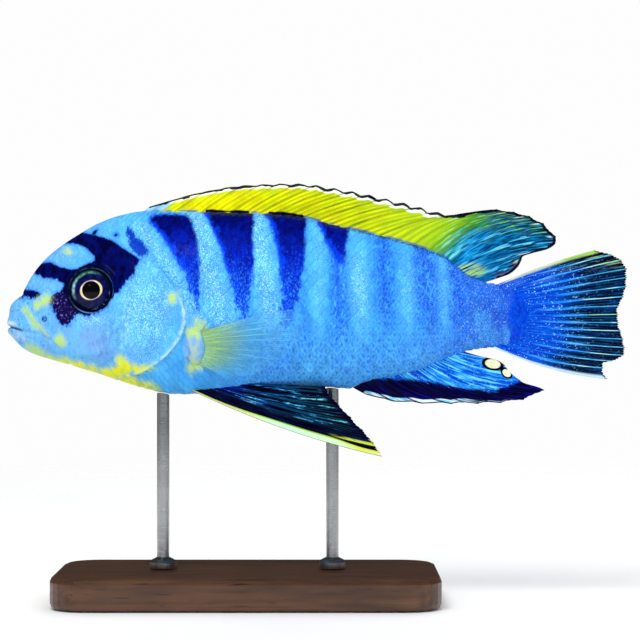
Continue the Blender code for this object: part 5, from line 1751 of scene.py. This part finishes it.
def makeEyeMaterial():
    tint = tintsOf(eyeShades)
    made, tree, shader = newMaterial(
        "glossyEye", Roughness=0.3, Coat_Weight=0.35, Coat_Roughness=0.05, Coat_IOR=1.35,
        Specular_IOR_Level=0.05,
    )
    radius, rearward, upward = fieldsOf(tree, "eyeRadius", "eyeRearward", "eyeUpward")
    turn = (upward - rearward) * math.sqrt(0.5)
    where = objectPlace(tree)
    fibres = noise(where, 1500.0, 3.0, 0.6)
    blotch = noise(where, 420.0, 2.0, 0.5)
    shifted = radius + (blotch - 0.5) * 0.25
    iris = blend(rise(fibres, 0.35, 0.65), tint.iris, tint.irisFibre)
    # arc: a painted reflection along the iris's upper front rim, paler towards the front; glimmer: a
    # painted highlight along its lower rear rim
    fromArc = abs(radius - 3.5)
    arc = rise(turn, 0.1, 0.85) * rise(fromArc, 0.5, 0.0)
    reflectionTone = blend(rise(rearward, -0.7, -0.98), tint.arc, tint.arcPale)
    glimmer = rise(turn, -0.5, -0.95) * rise(fromArc, 0.3, 0.1)
    glimmer = glimmer * rise(fibres, 0.5, 0.64)
    crescent = rearward * 0.94 + upward * 0.34
    crescent = crescent * crescent
    edge = crescent * eyeForm["goldCrescent"] + eyeForm["goldEdge"]
    gold = blend(crescent, tint.goldDull, tint.gold)
    iris = layered(
        iris,
        (rise(shifted, 2.9, 3.7), tint.irisRim),
        (arc * rise(fibres, 0.25, 0.6), reflectionTone),
        (glimmer * 0.6, tint.glimmer),
    )
    gold = laid(rise(fibres, 0.6, 0.4) * 0.35, gold, tint.goldSpeck)
    colour = blend(rise(radius - edge, 0.08, -0.06), iris, gold)
    colour = laid(rise(radius, eyeForm["pupil"] + 0.06, eyeForm["pupil"] - 0.04), colour, tint.pupil)
    setInputs(shader, Base_Color=colour)
    return made


# Eyeball: half an oval in front and behind, with a flatter iris and a lens that bulges from the pupil.
def eyeProfile():
    t = np.linspace(0.02, 0.98, eyeLook["rings"])
    turn = t * math.pi
    radius = eyeLook["radius"] * np.sin(turn)
    depth = eyeForm["halfDepth"] * np.cos(turn)
    front = depth > 0
    bulge = np.clip(1 - (radius / eyeForm["pupil"]) ** 2, 0, 1)
    plain, deeper, circle, width = eyeLook["hollow"]
    hollow = plain + deeper * bell(radius - circle, width)
    lift, width = eyeLook["goldLift"]
    ringLift = lift * bell(radius - eyeForm["goldEdge"], width)
    return np.stack([radius, depth + front * (eyeLook["bulge"] * bulge + ringLift - hollow)], axis=1)


def makeEyes():
    eyeMaterial = makeEyeMaterial()
    around = np.linspace(0.0, 2 * math.pi, eyeLook["ringCorners"], endpoint=False)
    ringProfile = np.stack([
        eyeForm["ringRadius"] + eyeLook["ringWidth"] * np.cos(around),
        eyeForm["halfDepth"] - eyeForm["standsOut"] - 0.1 + eyeLook["ringHeight"] * np.sin(around),
    ], axis=1)
    for label, side in (("left", -1), ("right", 1)):
        ball, _, radius, turn = turnedMesh(f"eyeball.{label}", side, eyeProfile())
        addField(ball, "eyeRadius", np.append(np.repeat(radius, turn.size), [0.0, 0.0]))
        for fieldName, wave in (("eyeRearward", np.cos), ("eyeUpward", np.sin)):
            addField(ball, fieldName, np.append(np.tile(wave(turn.ravel()), len(radius)), [0.0, 0.0]))
        addPiece(ball, eyeMaterial, "fish_eye", f"eye_{label}")
        ring, points, _, _ = turnedMesh(f"orbitRing.{label}", side, ringProfile, isRing=True)
        addMarkings(ring, points[:, 0] / mm + fishLength / 2, points[:, 2] / mm - axisHeight)
        addPiece(ring, skinMaterial, "fish_skin")


makeEyes()
print("eyes done")


# The stand

woodShades = dict(
    dark=(58, 36, 24), light=(92, 58, 36), middle=(70, 43, 28), pale=(104, 68, 42), fibre=(46, 28, 20),
    pore=(30, 18, 12),
)


def makeWoodMaterial():
    tint = tintsOf(woodShades)
    made, tree, shader = newMaterial(
        "stainedWood", Coat_Weight=0.25, Coat_Roughness=0.25, Specular_IOR_Level=0.4,
    )
    where = objectPlace(tree)
    fibre = noise(stretched(where, (1.0, 14.0, 14.0)), 60.0, 4.0, 0.6)
    rings = noise(stretched(where, (1.0, 9.0, 5.0)), 22.0, 3.0, 0.55)
    pores = noise(stretched(where, (1.0, 20.0, 20.0)), 160.0, 2.0, 0.5)
    colour = ramp(rings, (0.3, tint.dark), (0.48, tint.light), (0.6, tint.middle), (0.75, tint.pale))
    colour = layered(
        colour,
        (rise(fibre, 0.4, 0.7) * 0.5, tint.fibre),
        (rise(pores, 0.64, 0.72), tint.pore),
    )
    setInputs(shader, Base_Color=colour)
    setInputs(shader, Roughness=fibre * 0.25 + 0.28, Normal=bumpFrom(fibre, 0.3, 0.0001))
    return made


steelShades = dict(dull=(178, 180, 184), bright=(214, 215, 216))


def makeSteelMaterial():
    tint = tintsOf(steelShades)
    made, tree, shader = newMaterial("brushedSteel", Metallic=1.0)
    where = objectPlace(tree)
    lines = noise(stretched(where, (3.0, 3.0, 60.0)), 90.0, 3.0, 0.6)
    patina = noise(where, 120.0, 2.0, 0.5)
    colour = ramp(patina, (0.3, tint.dull), (0.7, tint.bright))
    setInputs(shader, Base_Color=colour)
    setInputs(shader, Roughness=lines * 0.25 + 0.18, Normal=bumpFrom(lines, 0.15, 0.00005))
    return made


steel = makeSteelMaterial()
standMaterials = {"stand_base": makeWoodMaterial(), "stand_rod_front": steel, "stand_rod_rear": steel}
for nodeName, material in standMaterials.items():
    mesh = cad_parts[nodeName].data
    mesh.materials.clear()
    mesh.materials.append(material)
print("stand done")


# Studio

studio = dict(
    cameraPlace=(0.0003, -0.45, 0.0543),
    lens=36 * 0.45 / 0.12407,       # sensor width, camera distance and width of the view in metres
    floorRadii=(0.1, 0.2, 0.35, 0.6),
    floorFade=(0.16, 0.5),
    floorDrop=0.0002,
    backdrop=(0.985, 0.985, 0.985, 1.0),
    sky=(0.97, 0.985, 1.0, 1.0),
    skyStrength=0.62,
    mirroredSky=0.05,
    lights=(
        # name, place, size in metres, watts, colour, whether glossy surfaces mirror it
        ("keyLight", (-0.14, -0.36, 0.6), 0.3, 2.3, (1.0, 0.99, 0.97), False),
        ("glintLight", (-0.2, -0.5, 0.5), 0.1, 0.16, (1.0, 1.0, 1.0), True),
        ("fillLight", (0.1, -0.7, 0.1), 0.7, 1.9, (0.97, 0.99, 1.0), False),
        ("backLight", (0.1, 0.5, 0.45), 0.5, 1.2, (1.0, 1.0, 1.0), False),
    ),
)


def makeStudio():
    scene = bpy.context.scene
    scene.view_settings.view_transform = "Standard"
    camera = bpy.data.cameras.new("camera")
    camera.lens = studio["lens"]
    camera.sensor_width = 36.0
    camera.clip_start = 0.01
    holder = bpy.data.objects.new("camera", camera)
    holder.location = studio["cameraPlace"]
    holder.rotation_euler = (math.radians(90), 0.0, 0.0)
    scene.collection.objects.link(holder)
    scene.camera = holder

    world = bpy.data.worlds.new("studio")
    world.use_nodes = True
    scene.world = world
    tree = world.node_tree
    tree.nodes.clear()
    path = tree.nodes.new("ShaderNodeLightPath")
    mirrored = Value(path.outputs["Is Glossy Ray"]) * (studio["mirroredSky"] - studio["skyStrength"])
    strength = mirrored + studio["skyStrength"]
    seen = nodeIn(tree, "Background", {"Color": studio["backdrop"]}, 0)
    felt = nodeIn(tree, "Background", {"Color": studio["sky"], "Strength": strength}, 0)
    mixed = nodeIn(tree, "MixShader", {0: Value(path.outputs["Is Camera Ray"]), 1: felt, 2: seen}, 0)
    feed(tree.nodes.new("ShaderNodeOutputWorld").inputs[0], mixed)

    for name, spot, size, watts, colour, isMirrored in studio["lights"]:
        lamp = bpy.data.lights.new(name, "AREA")
        lamp.size = size
        lamp.energy = watts
        lamp.color = colour
        light = bpy.data.objects.new(name, lamp)
        light.location = spot
        light.visible_glossy = isMirrored
        aim = Vector((0.0, 0.0, axisHeight * mm)) - Vector(spot)
        light.rotation_euler = aim.to_track_quat("-Z", "Y").to_euler()
        scene.collection.objects.link(light)


floorShades = dict(dull=(246, 246, 246), bright=(252, 252, 252))


# A pale round floor that fades out, so that it meets the backdrop without a line.
def makeFloor():
    tint = tintsOf(floorShades)
    turn = np.linspace(0.0, 2 * math.pi, 64, endpoint=False)
    radii = np.array(studio["floorRadii"])[:, None]
    drop = np.full((len(radii), turn.size), -studio["floorDrop"])
    points = np.stack([radii * np.cos(turn), radii * np.sin(turn), drop], axis=-1)
    points = np.concatenate([points.reshape(-1, 3), [[0.0, 0.0, -studio["floorDrop"]]]])
    centre = fanFaces(len(points) - 1, np.arange(turn.size))
    mesh = meshFrom("floor", points, gridFaces(len(radii), turn.size, closed=True), centre)
    made, tree, shader = newMaterial("paleFloor", Roughness=0.9, Specular_IOR_Level=0.1)
    where = objectPlace(tree)
    away = nodeIn(tree, "VectorMath", {0: where}, "Value", operation="LENGTH")
    near, far = studio["floorFade"]
    setInputs(
        shader, Base_Color=blend(noise(where, 30.0), tint.dull, tint.bright),
        Alpha=rise(away, far, near),
    )
    mesh.materials.append(made)
    floor = bpy.data.objects.new("floor", mesh)
    bpy.context.scene.collection.objects.link(floor)


makeStudio()
makeFloor()
print("studio done")
